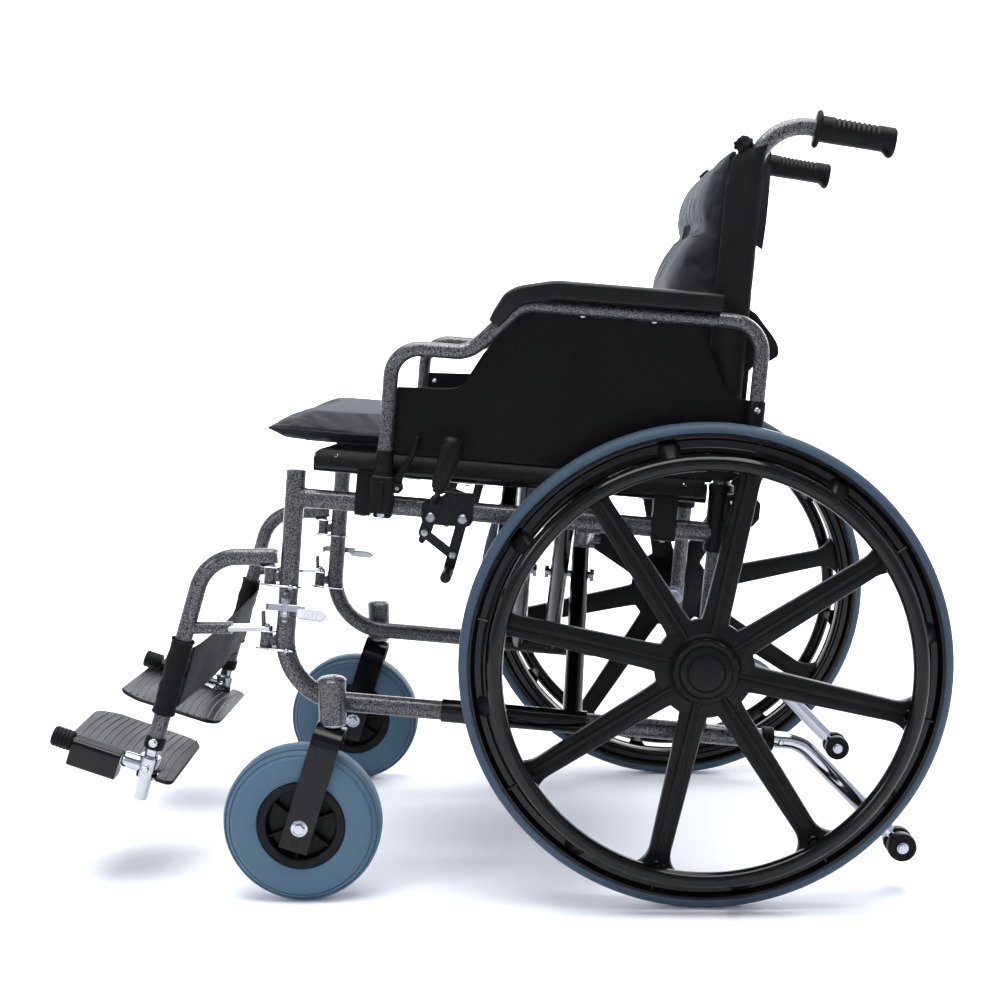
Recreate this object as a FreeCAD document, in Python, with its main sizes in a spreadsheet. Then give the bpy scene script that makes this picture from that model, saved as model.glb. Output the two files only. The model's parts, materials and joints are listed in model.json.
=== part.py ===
import FreeCAD, Part
import math
import os
import Sketcher
from FreeCAD import Placement, Rotation, Vector

os.makedirs("parts", exist_ok=True)
doc = FreeCAD.newDocument("manual_wheelchair")

# ---------------------------------------------------------------------------
# Driving dimensions, in millimetres and degrees.  The chair's own frame has +X to the sitter's
# left, +Y to the rear and +Z up.  "Frame space" is the same frame turned about X by frame_lean and
# moved to the rear axle: its Y runs along the side rails and its Z square to them.
# ---------------------------------------------------------------------------
SIZES = [
    # side frames
    ("rail_half_span", 230), ("tube_diameter", 25), ("tube_wall", 1.6), ("frame_lean", 5.3),
    ("lower_rail_drop", 98), ("upper_rail_rise", 162), ("seat_rail_rise", 210),
    ("upright_ahead", 530.5), ("upright_rise", 195), ("frame_bend", 80), ("rail_tail", 102),
    ("post_behind", 6), ("post_diameter", 22), ("handle_rise", 675.5), ("handle_bend", 62),
    ("handle_reach", 168), ("handle_drop", 5),
    ("grip_start", 71), ("grip_length", 99), ("grip_diameter", 33), ("grip_flange", 46), ("grip_flange_width", 35.6),
    # general fits
    ("running_gap", 0.06), ("side_gap", 0.5), ("soft_gap", 0.4), ("pin_diameter", 6),
    # rear wheels
    ("wheel_radius", 304.8), ("wheel_plane", 290), ("tyre_width", 35), ("tyre_depth", 12.8),
    ("rim_depth", 25), ("hub_diameter", 80), ("hub_length", 56), ("spoke_count", 8),
    ("spoke_root", 34), ("spoke_tip", 27), ("spoke_depth", 20), ("spoke_phase", 13.2),
    ("far_spoke_phase", 11), ("axle_diameter", 12.7), ("handrim_radius", 258),
    ("handrim_tube", 20), ("handrim_plane", 328), ("handrim_lug", 24), ("lug_count", 8),
    # casters
    ("caster_radius", 101.6), ("caster_width", 50), ("caster_hub_diameter", 112),
    ("caster_hub_width", 40), ("stem_ahead", 466.6), ("stem_half_span", 264),
    ("stem_diameter", 12), ("caster_trail", 41.4), ("housing_diameter", 35), ("housing_foot", 230),
    ("housing_height", 54), ("fork_thickness", 3.5), ("fork_width", 36), ("fork_opening", 56),
    ("fork_crown", 10), ("caster_axle_diameter", 8),
    # cross brace
    ("folded_angle", 77), ("sleeve_diameter", 30), ("sleeve_front", 323), ("sleeve_back", 137),
    ("outer_bar_back", 155), ("outer_bar_front", 265), ("inner_bar_back", 184),
    ("inner_bar_front", 236), ("seat_rail_front", 508), ("seat_rail_back", 12),
    ("pivot_bolt_diameter", 10), ("link_diameter", 29), ("link_sleeve_length", 29),
    # footrests
    ("hinge_ahead", 555), ("hinge_pin", 10), ("socket_diameter", 16), ("socket_length", 20),
    ("upper_socket_rise", 60), ("lower_socket_rise", -23), ("hanger_diameter", 22),
    ("hanger_height", 438.6), ("hanger_corner_ahead", 629.2), ("hanger_rake", 17.2),
    ("hanger_length", 257.5), ("hanger_bend", 55), ("lower_arm_height", 346.5),
    ("footrest_tube_end", 332), ("footrest_tube_insert", 90), ("plate_axis_down", 288),
    ("plate_pitch", 19), ("plate_pin", 12), ("plate_width", 164), ("plate_ahead", 118),
    ("plate_behind", 35), ("plate_thickness", 6), ("plate_drop", 9), ("plate_inset", 12),
    ("bracket_start", 36), ("bracket_length", 66), ("bracket_height", 36), ("bracket_width", 28),
    ("roller_start", 104), ("roller_length", 26), ("roller_diameter", 27),
    # anti-tippers
    ("tipper_bend_ahead", 138), ("tipper_insert", 60), ("tipper_bend", 45), ("tipper_angle", 41),
    ("tipper_run", 186), ("tipper_wheel_diameter", 37), ("tipper_wheel_width", 14),
    ("tipper_wheel_space", 10),
    # armrests
    ("arm_half_span", 257.5), ("arm_tube", 19), ("arm_leg_ahead", 416.7), ("arm_step_rise", 362.5),
    ("arm_step_end", 322), ("arm_top_rise", 427.5), ("arm_top_start", 262),
    ("arm_rear_behind", 36.4), ("arm_pivot_rise", 200), ("arm_leg_foot", 168),
    ("arm_bend", 40), ("pad_width", 46), ("pad_thickness", 22), ("pad_nose", 297),
    ("pad_tail", 19), ("pad_overlap", 4), ("panel_thickness", 2.5), ("panel_foot", 229),
    ("panel_front_rise", 313), ("socket_clearance", 1.7), ("socket_wall", 3), ("socket_top", 202),
    ("socket_bottom", 155),
    # brake
    ("brake_plate", 3), ("brake_arm", 4), ("brake_pivot_ahead", 354.5), ("brake_pivot_rise", 153.2),
    ("brake_crank", 21), ("shoe_pivot_ahead", 314.4), ("shoe_pivot_rise", 154.1),
    ("shoe_link_radius", 47.2), ("shoe_length", 68.3), ("shoe_bar_diameter", 14),
    ("brake_grip_plane", 285), ("brake_grip_diameter", 24), ("brake_grip_length", 68),
    # seat and back
    ("seat_cloth", 2.5), ("seat_sag", 10), ("cushion_thickness", 36), ("cushion_width", 436),
    ("cushion_front", 576), ("cushion_back", 34), ("back_cloth", 2), ("back_bottom", 236),
    ("back_top", 606), ("back_cushion_width", 410), ("back_cushion_thickness", 52),
    ("back_cushion_bottom", 274), ("back_cushion_top", 640), ("strap_height", 82),
    ("strap_thickness", 5),
]

sheet = doc.addObject("Spreadsheet::Sheet", "Sizes")
for row, (alias, value) in enumerate(SIZES, start=1):
    sheet.set(f"A{row}", alias)
    sheet.set(f"B{row}", str(value))
    sheet.setAlias(f"B{row}", alias)
doc.recompute()


class Dimensions:
    """The sheet's values by name."""

    def __getattr__(self, alias):
        return float(sheet.get(alias))


size = Dimensions()

# ---------------------------------------------------------------------------
# Values worked out from the driving dimensions
# ---------------------------------------------------------------------------
lean = math.radians(size.frame_lean)
rake = math.radians(size.hanger_rake)
pitch = math.radians(size.plate_pitch)
tube_radius = size.tube_diameter / 2
post_radius = size.post_diameter / 2
arm_radius = size.arm_tube / 2

# The brace bars run from a lower rail to the opposite seat rail and cross half-way.
brace_rise = size.lower_rail_drop + size.seat_rail_rise
brace_length = math.hypot(2 * size.rail_half_span, brace_rise)
open_angle = math.asin(brace_rise / brace_length)
folded = math.radians(size.folded_angle)
cross_rise = (size.seat_rail_rise - size.lower_rail_drop) / 2

# Distance from a seat rail to the side link's eye, such that the link has one length open and folded.
rail_spacing = size.upper_rail_rise + size.lower_rail_drop
sine_sum = math.sin(open_angle) + math.sin(folded)
link_offset = (
    brace_length * (brace_length / 2 * sine_sum - rail_spacing)
    / (brace_length * sine_sum - rail_spacing)
)

# The footrest's line, and the rear axle's place such that the chair's length is centred on Y = 0.
hanger_down = Vector(0, -math.sin(rake), -math.cos(rake))
plate_forward = Vector(0, -math.cos(pitch), math.sin(pitch))
hanger_corner = Vector(size.rail_half_span, -size.hanger_corner_ahead, size.hanger_height)
plate_axis = hanger_corner + hanger_down * size.plate_axis_down
roller_front = plate_axis + plate_forward * (size.roller_start + size.roller_length)
front_reach = -roller_front.y + size.roller_diameter / 2 * math.sin(pitch)
axle_y = (front_reach - size.wheel_radius) / 2

LEVEL = Placement(Vector(0, axle_y, 0), Rotation())
FRAME = Placement(Vector(0, axle_y, size.wheel_radius), Rotation(Vector(1, 0, 0), -size.frame_lean))
UP = Vector(0, 0, 1)
LEFT = Vector(1, 0, 0)
REAR = Vector(0, 1, 0)


def to_frame(point):
    """A point of the level chair, with Y from the rear axle, in frame space."""
    return FRAME.inverse().multVec(LEVEL.multVec(point))


def frame_direction(direction):
    return FRAME.Rotation.inverted().multVec(direction)


# ---------------------------------------------------------------------------
# Helpers
# ---------------------------------------------------------------------------
def bind(thing, **expressions):
    for name, text in expressions.items():
        thing.setExpression(name, text)
    return thing


def rod(name, start, direction, length, radius):
    """A cylinder; radius is an expression on the sheet, length a number or an expression."""
    thing = doc.addObject("Part::Cylinder", name)
    thing.Placement = Placement(start, Rotation(UP, direction))
    bind(thing, Radius=radius)
    if isinstance(length, str):
        bind(thing, Height=length)
    else:
        thing.Height = length
    return thing


def rod_between(name, start, end, radius):
    return rod(name, start, end - start, (end - start).Length, radius)


def block(name, low, high):
    thing = doc.addObject("Part::Box", name)
    thing.Length, thing.Width, thing.Height = high.x - low.x, high.y - low.y, high.z - low.z
    thing.Placement = Placement(low, Rotation())
    return thing


def fused(name, *pieces):
    thing = doc.addObject("Part::MultiFuse", name)
    thing.Shapes = list(pieces)
    return thing


def cut(name, base, *tools):
    thing = doc.addObject("Part::Cut", name)
    thing.Base = base
    thing.Tool = tools[0] if len(tools) == 1 else fused(name + "_tools", *tools)
    return thing


def group(name, *pieces):
    thing = doc.addObject("Part::Compound", name)
    thing.Links = list(pieces)
    return thing


def rounded_corners(corners, bends):
    """Edges along a polyline whose inner corners are tangent arcs of the given radii."""
    edges, start = [], corners[0]
    for corner, after, radius in zip(corners[1:], corners[2:], bends):
        back, ahead = (start - corner).normalize(), (after - corner).normalize()
        half = math.acos(max(-1, min(1, back.dot(ahead)))) / 2
        leg = radius / math.tan(half)
        first, last = corner + back * leg, corner + ahead * leg
        middle = corner + (back + ahead).normalize() * (radius / math.sin(half) - radius)
        edges += [Part.LineSegment(start, first), Part.Arc(first, middle, last)]
        start = last
    return edges + [Part.LineSegment(start, corners[-1])]


def tube_path(name, corners, bends):
    spine = doc.addObject("Part::Feature", name)
    spine.Shape = Part.Wire([edge.toShape() for edge in rounded_corners(corners, bends)])
    return spine


# Keeps a bar's seam off the sides, where equal tubes that join cross each other.
SEAM_TURN = Rotation(UP, 40)


def sweep(name, spine, corners, radius):
    """A round bar of the given radius expression along a path."""
    ring = doc.addObject("Part::Circle", name + "_section")
    along = Rotation(UP, corners[1] - corners[0])
    ring.Placement = Placement(corners[0], along.multiply(SEAM_TURN))
    bind(ring, Radius=radius)
    thing = doc.addObject("Part::Sweep", name)
    thing.Sections = [ring]
    thing.Spine = (spine, [f"Edge{i + 1}" for i in range(len(spine.Shape.Edges))])
    thing.Solid = True
    return thing


def tube(name, corners, bends, diameter):
    """The outside and the bore of a bent tube of the common wall, as two bars."""
    spine = tube_path(name + "_path", corners, bends)
    outside = sweep(name + "_outside", spine, corners, f"Sizes.{diameter} / 2")
    bore = sweep(name + "_bore", spine, corners, f"Sizes.{diameter} / 2 - Sizes.tube_wall")
    return outside, bore


def body(name):
    return doc.addObject("PartDesign::Body", name)


def sketch(owner, role, geometry, name="outline"):
    """A sketch on one of the body's own planes; touching ends are made coincident."""
    plane = next(f for f in owner.Origin.OriginFeatures if f.Role == role)
    drawn = owner.newObject("Sketcher::SketchObject", f"{owner.Name}_{name}")
    drawn.AttachmentSupport = [(plane, "")]
    drawn.MapMode = "FlatFace"
    drawn.addGeometry(geometry, False)
    ends = [(i, end) for i, piece in enumerate(geometry) if hasattr(piece, "StartPoint")
            for end in (1, 2)]
    for n, (i, end) in enumerate(ends):
        for j, other in ends[n + 1:]:
            if i != j and (drawn.getPoint(i, end) - drawn.getPoint(j, other)).Length < 1e-6:
                drawn.addConstraint(Sketcher.Constraint("Coincident", i, end, j, other))
    return drawn


def outline(points, bends=None):
    """Closed sketch geometry through points, with an arc of the given radius at each bent corner."""
    bends = bends or [0] * len(points)
    count = len(points)
    sides, starts = [], {}
    for i, (corner, radius) in enumerate(zip(points, bends)):
        before, after = points[i - 1], points[(i + 1) % count]
        if not radius:
            starts[i] = (corner, corner, None)
            continue
        back, ahead = (before - corner).normalize(), (after - corner).normalize()
        half = math.acos(max(-1, min(1, back.dot(ahead)))) / 2
        leg = radius / math.tan(half)
        middle = corner + (back + ahead).normalize() * (radius / math.sin(half) - radius)
        starts[i] = (corner + back * leg, corner + ahead * leg, middle)
    for i in range(count):
        first, last, middle = starts[i]
        if middle is not None:
            sides.append(Part.Arc(first, middle, last))
        sides.append(Part.LineSegment(last, starts[(i + 1) % count][0]))
    return sides


def flat(points):
    return [Vector(a, b, 0) for a, b in points]


def pad(name, role, geometry, length, middle=False):
    """A body with one padded sketch; length is an expression."""
    owner = body(name)
    drawn = sketch(owner, role, geometry)
    thing = owner.newObject("PartDesign::Pad", name + "_pad")
    thing.Profile = drawn
    bind(thing, Length=length)
    thing.Midplane = middle
    drawn.Visibility = False
    doc.recompute()
    return owner


def turned(name, points, bends=None):
    """A body of revolution about its own Z axis from an outline of (radius, height) points."""
    owner = body(name)
    drawn = sketch(owner, "XZ_Plane", outline(flat(points), bends), "profile")
    thing = owner.newObject("PartDesign::Revolution", name + "_turn")
    thing.Profile = drawn
    axis = next(f for f in owner.Origin.OriginFeatures if f.Role == "Z_Axis")
    thing.ReferenceAxis = (axis, [""])
    thing.Angle = 360
    doc.recompute()
    return owner


def side_plate(name, points, bends, inner, thickness):
    """A plate square to X: outline in (along, rise), from x = inner outwards by an expression."""
    owner = pad(name, "YZ_Plane", outline(flat(points), bends), thickness)
    owner.Placement = Placement(Vector(inner, 0, 0), Rotation())
    return owner


# Sub-parts that go to their own files: label to object.
nodes = {}


def node(label, thing, placement=LEVEL):
    thing.Label = label
    if thing.TypeId == "Part::Mirroring":
        nodes[label] = thing
        return thing
    thing.Placement = placement.multiply(thing.Placement)
    nodes[label] = thing
    return thing


def mirrored(name, source):
    twin = doc.addObject("Part::Mirroring", name)
    twin.Source = source
    twin.Normal = LEFT
    return twin


def mirror_side(label):
    """The right-hand twin of a left-hand sub-part."""
    name = label.replace("left", "right")
    return node(name, mirrored(name, nodes[label]))


# ---------------------------------------------------------------------------
# Side frame, its plastic fittings, grip and bolts
# ---------------------------------------------------------------------------
def side_frame():
    x = size.rail_half_span
    low, high = -size.lower_rail_drop, size.upper_rail_rise
    front = -size.upright_ahead
    main = [Vector(x, front, size.upright_rise), Vector(x, front, low), Vector(x, size.rail_tail, low)]
    upper = [Vector(x, front, high), Vector(x, size.post_behind, high)]
    drop = math.radians(size.handle_drop)
    corner = Vector(x, size.post_behind, size.handle_rise)
    end = corner + Vector(0, math.cos(drop), -math.sin(drop)) * size.handle_reach
    post = [Vector(x, size.post_behind, low), corner, end]
    main_out, main_bore = tube("main_tube", main, [size.frame_bend], "tube_diameter")
    upper_out, upper_bore = tube("upper_rail", upper, [], "tube_diameter")
    post_out, post_bore = tube("back_post", post, [size.handle_bend], "post_diameter")

    foot = to_frame(Vector(size.stem_half_span, -size.stem_ahead, size.housing_foot))
    upward = frame_direction(UP)
    housing = rod("caster_housing", foot, upward, "Sizes.housing_height",
                  "Sizes.housing_diameter / 2")
    stem_bore = rod("stem_bore", foot, upward, "Sizes.housing_height",
                    "Sizes.stem_diameter / 2 + Sizes.running_gap")
    weld_y = to_frame(Vector(0, -size.stem_ahead, size.housing_foot + size.housing_height / 2)).y
    collar = rod("housing_collar", Vector(x, weld_y, low), LEFT, size.stem_half_span - x,
                 "Sizes.tube_diameter / 2 - 1")
    inner_end = x - post_radius - 3
    hub_face = size.wheel_plane - size.hub_length / 2
    axle_sleeve = rod("axle_sleeve", Vector(inner_end, 0, 0), LEFT,
                      hub_face - size.side_gap - inner_end, "Sizes.axle_diameter / 2 + 6")
    axle_bore = rod("axle_bore", Vector(inner_end, 0, 0), LEFT, hub_face - inner_end,
                    "Sizes.axle_diameter / 2")
    sockets, holes = [], []
    for word, rise in (("upper", size.upper_socket_rise), ("lower", size.lower_socket_rise)):
        base = Vector(x, -size.hinge_ahead, rise - size.socket_length / 2)
        sockets.append(rod(word + "_hinge_socket", base, UP, "Sizes.socket_length",
                           "Sizes.socket_diameter / 2"))
        holes.append(rod(word + "_hinge_hole", base, UP, "Sizes.socket_length",
                         "Sizes.hinge_pin / 2 + Sizes.running_gap"))
        wall_middle = front - tube_radius + size.tube_wall - 0.1
        sockets.append(block(word + "_socket_web",
                             Vector(x - 5, base.y, base.z + 2),
                             Vector(x + 5, wall_middle, base.z + size.socket_length - 6)))
    ears = []
    for word, rise in (("low", latch_low - latch_ear), ("high", latch_high)):
        ears.append(block(f"{word}_latch_ear", Vector(x + 6, front - latch_barrel, rise),
                          Vector(latch_x + latch_barrel, front + latch_barrel, rise + latch_ear)))
        holes.append(rod(f"{word}_latch_hole", Vector(latch_x, front, rise), UP, latch_ear,
                         "Sizes.pin_diameter / 2 - 1"))
    solid = fused("side_frame_outside", main_out, upper_out, post_out, housing, collar, axle_sleeve,
                  *sockets, *ears)
    return cut("side_frame", solid, main_bore, upper_bore, post_bore, stem_bore, axle_bore, *holes)


latch_barrel = 4
latch_ear = 4
latch_low, latch_high = 10, 34
latch_x = size.rail_half_span + tube_radius + latch_barrel + size.side_gap


def frame_fittings():
    """Black plastic: end caps, seat cradles, the front arm socket and the rear arm bracket."""
    x = size.rail_half_span
    front = -size.upright_ahead
    bore = tube_radius - size.tube_wall
    pieces = []
    cap = turned("upright_cap", [(0, -12), (bore, -12), (bore, 0), (tube_radius, 0),
                                 (tube_radius, 2.5), (tube_radius - 2.5, 4), (0, 4)])
    cap.Placement = Placement(Vector(x, front, size.upright_rise), Rotation())
    pieces.append(cap)
    dome_radius = size.housing_diameter / 2
    dome = turned("housing_cap", [(0, 0.2), (dome_radius, 0.2), (dome_radius, 5),
                                  (dome_radius - 5, 10), (0, 11.5)], [0, 0, 3, 6, 0])
    top = to_frame(Vector(size.stem_half_span, -size.stem_ahead,
                          size.housing_foot + size.housing_height))
    dome.Placement = Placement(top, Rotation(UP, frame_direction(UP)))
    pieces.append(dome)

    rest = size.seat_rail_rise
    rail = size.upper_rail_rise
    half = tube_radius + 3
    for word, start, end in (("rear", -76, -48), ("front", -452, -416.7 - arm_radius - 12)):
        cradle = block(word + "_cradle_block", Vector(x - half, start, rail - tube_radius - 3),
                       Vector(x + half - 1, end, rest - 3))
        rail_hole = rod(word + "_cradle_rail", Vector(x, start, rail), REAR, end - start,
                        "Sizes.tube_diameter / 2")
        seat_hole = rod(word + "_cradle_seat", Vector(x, start, rest), REAR, end - start,
                        "Sizes.tube_diameter / 2 + Sizes.soft_gap")
        pieces.append(cut(word + "_seat_cradle", cradle, rail_hole, seat_hole))

    leg = Vector(size.arm_half_span, -size.arm_leg_ahead, 0)
    reach = arm_radius + size.socket_clearance
    outer = reach + size.socket_wall
    arm_block = block("arm_socket_block",
                      Vector(x + tube_radius, leg.y - outer, size.socket_bottom),
                      Vector(leg.x + outer, leg.y + outer, size.socket_top))
    clamp = block("arm_socket_clamp", Vector(x - half, leg.y - 12, rail - half),
                  Vector(x + tube_radius, leg.y + 12, rail + half))
    pocket = rod("arm_socket_pocket", Vector(leg.x, leg.y, size.arm_leg_foot - 1), UP,
                 size.socket_top - size.arm_leg_foot + 1,
                 "Sizes.arm_tube / 2 + Sizes.socket_clearance")
    clamp_hole = rod("arm_socket_rail", Vector(x, leg.y - 12, rail), REAR, 24,
                     "Sizes.tube_diameter / 2")
    hinge = arm_lever_pivot()
    ears = [block(f"arm_lever_ear_{i}", Vector(start, leg.y + outer - 2, hinge.z - 5),
                  Vector(start + 3, hinge.y + 5, hinge.z + 5))
            for i, start in enumerate((leg.x - 11.5, leg.x + 8.5))]
    ear_hole = rod("arm_lever_ear_hole", Vector(leg.x - 13, hinge.y, hinge.z), LEFT, 26,
                   "Sizes.pin_diameter / 2 - 1")
    pieces.append(cut("arm_socket", fused("arm_socket_solid", arm_block, clamp, *ears), pocket,
                      clamp_hole, ear_hole))

    # The rear bracket: a sleeve round the back post and two cheeks that hold the arm's pivot.
    low, high = rail + tube_radius + 1.5, 222
    sleeve = rod("bracket_sleeve", Vector(x, size.post_behind, low), UP, high - low,
                 "Sizes.post_diameter / 2 + 3.5")
    post_hole = rod("bracket_post", Vector(x, size.post_behind, low), UP, high - low,
                    "Sizes.post_diameter / 2")
    arm_low = size.arm_half_span - arm_radius - size.side_gap
    arm_high = size.arm_half_span + arm_radius + size.side_gap
    base = low
    cheeks = block("bracket_cheeks", Vector(x + 6, size.post_behind, base),
                   Vector(arm_high + 3, size.arm_rear_behind + 14, size.arm_pivot_rise + 14))
    arm_space = block("bracket_space", Vector(arm_low, size.post_behind + 8, base + 7),
                      Vector(arm_high, size.arm_rear_behind + 20, size.arm_pivot_rise + 20))
    inner_space = block("bracket_relief", Vector(x, size.post_behind + 16, base - 1),
                        Vector(arm_low - 3, size.arm_rear_behind + 20, size.arm_pivot_rise + 20))
    pin_hole = rod("bracket_pin_hole", Vector(arm_low - 4, size.arm_rear_behind, size.arm_pivot_rise),
                   LEFT, arm_high - arm_low + 8, "Sizes.pin_diameter / 2")
    bracket = cut("rear_arm_bracket", fused("bracket_solid", sleeve, cheeks), post_hole, arm_space,
                  inner_space, pin_hole)
    pieces.append(bracket)
    return group("frame_fittings", *pieces)


def hand_grip():
    radius, flange, inner = size.grip_diameter / 2, size.grip_flange / 2, post_radius
    end = size.grip_length
    tube_end = size.handle_reach - size.grip_start
    sleeve = turned("hand_grip_sleeve", [
        (inner, 0), (flange, 0), (flange, 5), (radius, 8), (radius, end - 8), (radius + 1.2, end - 5),
        (radius, end), (0, end), (0, tube_end), (inner, tube_end)])
    half = size.grip_flange_width / 2
    trim = [block(f"hand_grip_{word}_trim", Vector(low, -flange, -1), Vector(low + 10, flange, end + 1))
            for word, low in (("outer", half), ("inner", -half - 10))]
    grip = cut("hand_grip", sleeve, *trim)
    drop = math.radians(size.handle_drop)
    direction = Vector(0, math.cos(drop), -math.sin(drop))
    corner = Vector(size.rail_half_span, size.post_behind, size.handle_rise)
    grip.Placement = Placement(corner + direction * size.grip_start, Rotation(UP, direction))
    return grip


def frame_bolts():
    """Bright fasteners on the side frame: wheel axle, arm pivot, latch pin and bracket bolts."""
    x = size.rail_half_span
    start = x - post_radius - 3
    hub_end = size.wheel_plane + size.hub_length / 2
    axle = rod("wheel_axle", Vector(start, 0, 0), LEFT, hub_end - 6 - start,
               "Sizes.axle_diameter / 2")
    head = rod("wheel_axle_head", Vector(start - 7, 0, 0), LEFT, 7, "Sizes.axle_diameter / 2 + 3")
    arm_low = size.arm_half_span - arm_radius - size.side_gap - 3
    arm_high = size.arm_half_span + arm_radius + size.side_gap + 3
    pivot = rod("arm_pivot_pin", Vector(arm_low, size.arm_rear_behind, size.arm_pivot_rise), LEFT,
                arm_high - arm_low, "Sizes.pin_diameter / 2")
    pivot_head = rod("arm_pivot_head", Vector(arm_high, size.arm_rear_behind, size.arm_pivot_rise),
                     LEFT, 4, "Sizes.pin_diameter / 2 + 2")
    latch = rod("latch_pin", Vector(latch_x, -size.upright_ahead, latch_low - latch_ear), UP,
                latch_high - latch_low + 2 * latch_ear, "Sizes.pin_diameter / 2 - 1")
    latch_head = rod("latch_pin_head", Vector(latch_x, -size.upright_ahead, latch_high + latch_ear),
                     UP, 2, "Sizes.pin_diameter / 2 + 0.5")
    socket_bolt = rod("socket_bolt", Vector(size.arm_half_span - 4, -size.arm_leg_ahead - 2,
                                            size.socket_bottom - 4), UP, 4, "Sizes.pin_diameter / 2")
    hinge = arm_lever_pivot()
    release_pin = rod("arm_lever_pin", Vector(hinge.x - 12, hinge.y, hinge.z), LEFT, 24,
                      "Sizes.pin_diameter / 2 - 1")
    return group("frame_bolts", fused("wheel_axle_bolt", axle, head),
                 fused("arm_pivot_bolt", pivot, pivot_head), fused("latch_pivot", latch, latch_head),
                 socket_bolt, release_pin)


# ---------------------------------------------------------------------------
# Rear wheel
# ---------------------------------------------------------------------------
WHEEL_TURN = Rotation(UP, LEFT)


def wheel_placement(x, spin):
    """Puts a wheel, turned about its own Z, on the rear axle, and spins it about that axle."""
    return Placement(Vector(x, 0, size.wheel_radius), Rotation(LEFT, spin).multiply(WHEEL_TURN))


def rear_tyre():
    outer, half = size.wheel_radius, size.tyre_width / 2
    inner = outer - size.tyre_depth
    return turned("rear_tyre_profile", [
        (inner, -half + 3), (inner + 3, -half), (outer - 7, -half), (outer, -9), (outer, 9),
        (outer - 7, half), (inner + 3, half), (inner, half - 3)], [0, 2, 5, 8, 8, 5, 2, 0])


def rear_wheel(name, spin):
    """Moulded wheel: rim, hub with its cap and tapered channelled spokes, as one piece."""
    outer = size.wheel_radius - size.tyre_depth
    inner = outer - size.rim_depth
    half = size.tyre_width / 2 - 1.5
    owner = turned(name, [
        (inner, -half + 6), (inner + 7, -half), (outer - 4, -half), (outer, -half + 4),
        (outer, half - 4), (outer - 4, half), (inner + 7, half), (inner, half - 6)],
        [4, 5, 2, 0, 0, 2, 5, 4])
    root, tip = size.spoke_root / 2, size.spoke_tip / 2
    reach = inner + 5
    start = size.hub_diameter / 4
    fillet = 26
    spoke_outline = sketch(owner, "XY_Plane", outline(flat([
        (start, -root), (reach - fillet, -tip), (reach, -tip - fillet), (reach, tip + fillet),
        (reach - fillet, tip), (start, root)]), [0, 30, 0, 0, 30, 0]), "spoke")
    spoke = owner.newObject("PartDesign::Pad", name + "_spoke")
    spoke.Profile = spoke_outline
    bind(spoke, Length="Sizes.spoke_depth")
    spoke.Midplane = True
    doc.recompute()
    spokes = owner.newObject("PartDesign::PolarPattern", name + "_spokes")
    spokes.Originals = [spoke]
    spokes.Axis = (spoke_outline, ["N_Axis"])
    spokes.Angle = 360
    bind(spokes, Occurrences="Sizes.spoke_count")
    owner.Tip = spokes
    doc.recompute()

    hub_radius, hub_half = size.hub_diameter / 2, size.hub_length / 2
    hub = owner.newObject("PartDesign::Revolution", name + "_hub")
    hub.Profile = sketch(owner, "XZ_Plane", outline(flat([
        (0, -hub_half), (hub_radius - 12, -hub_half), (hub_radius, -14), (hub_radius, 12),
        (hub_radius - 6, hub_half), (hub_radius - 18, hub_half), (hub_radius - 21, hub_half + 4),
        (0, hub_half + 4)]), [0, 3, 0, 0, 4, 0, 0, 0]), "hub_profile")
    axis = next(f for f in owner.Origin.OriginFeatures if f.Role == "Z_Axis")
    hub.ReferenceAxis = (axis, [""])
    hub.Angle = 360
    doc.recompute()

    # A shallow channel along both faces of each spoke.
    deep = size.spoke_depth / 2 - 4
    for word, side in (("outer", 1), ("inner", -1)):
        channel_outline = sketch(owner, "XY_Plane", outline(flat([
            (hub_radius + 6, -root + 7), (reach - fillet - 6, -tip + 6), (reach - fillet - 6, tip - 6),
            (hub_radius + 6, root - 7)]), [3, 3, 3, 3]), word + "_channel")
        channel_outline.AttachmentOffset = Placement(Vector(0, 0, side * deep), Rotation())
        channel = owner.newObject("PartDesign::Pocket", f"{name}_{word}_channel")
        channel.Profile = channel_outline
        channel.Length = 10
        channel.Reversed = side > 0
        doc.recompute()
        channels = owner.newObject("PartDesign::PolarPattern", f"{name}_{word}_channels")
        channels.Originals = [channel]
        channels.Axis = (channel_outline, ["N_Axis"])
        channels.Angle = 360
        bind(channels, Occurrences="Sizes.spoke_count")
        owner.Tip = channels
        doc.recompute()
    bore = owner.newObject("PartDesign::Pocket", name + "_axle_bore")
    circle = Part.Circle(Vector(0, 0, 0), UP, size.axle_diameter / 2 + size.running_gap)
    bore_outline = sketch(owner, "XY_Plane", [circle], "bore")
    bore_outline.addConstraint(Sketcher.Constraint("Radius", 0, circle.Radius))
    bore_outline.setExpression("Constraints[0]", "Sizes.axle_diameter / 2 + Sizes.running_gap")
    bore_outline.AttachmentOffset = Placement(Vector(0, 0, hub_half - 4), Rotation())
    bore.Profile = bore_outline
    bore.Length = size.hub_length
    doc.recompute()
    owner.Placement = wheel_placement(size.wheel_plane, spin)
    return owner


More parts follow.
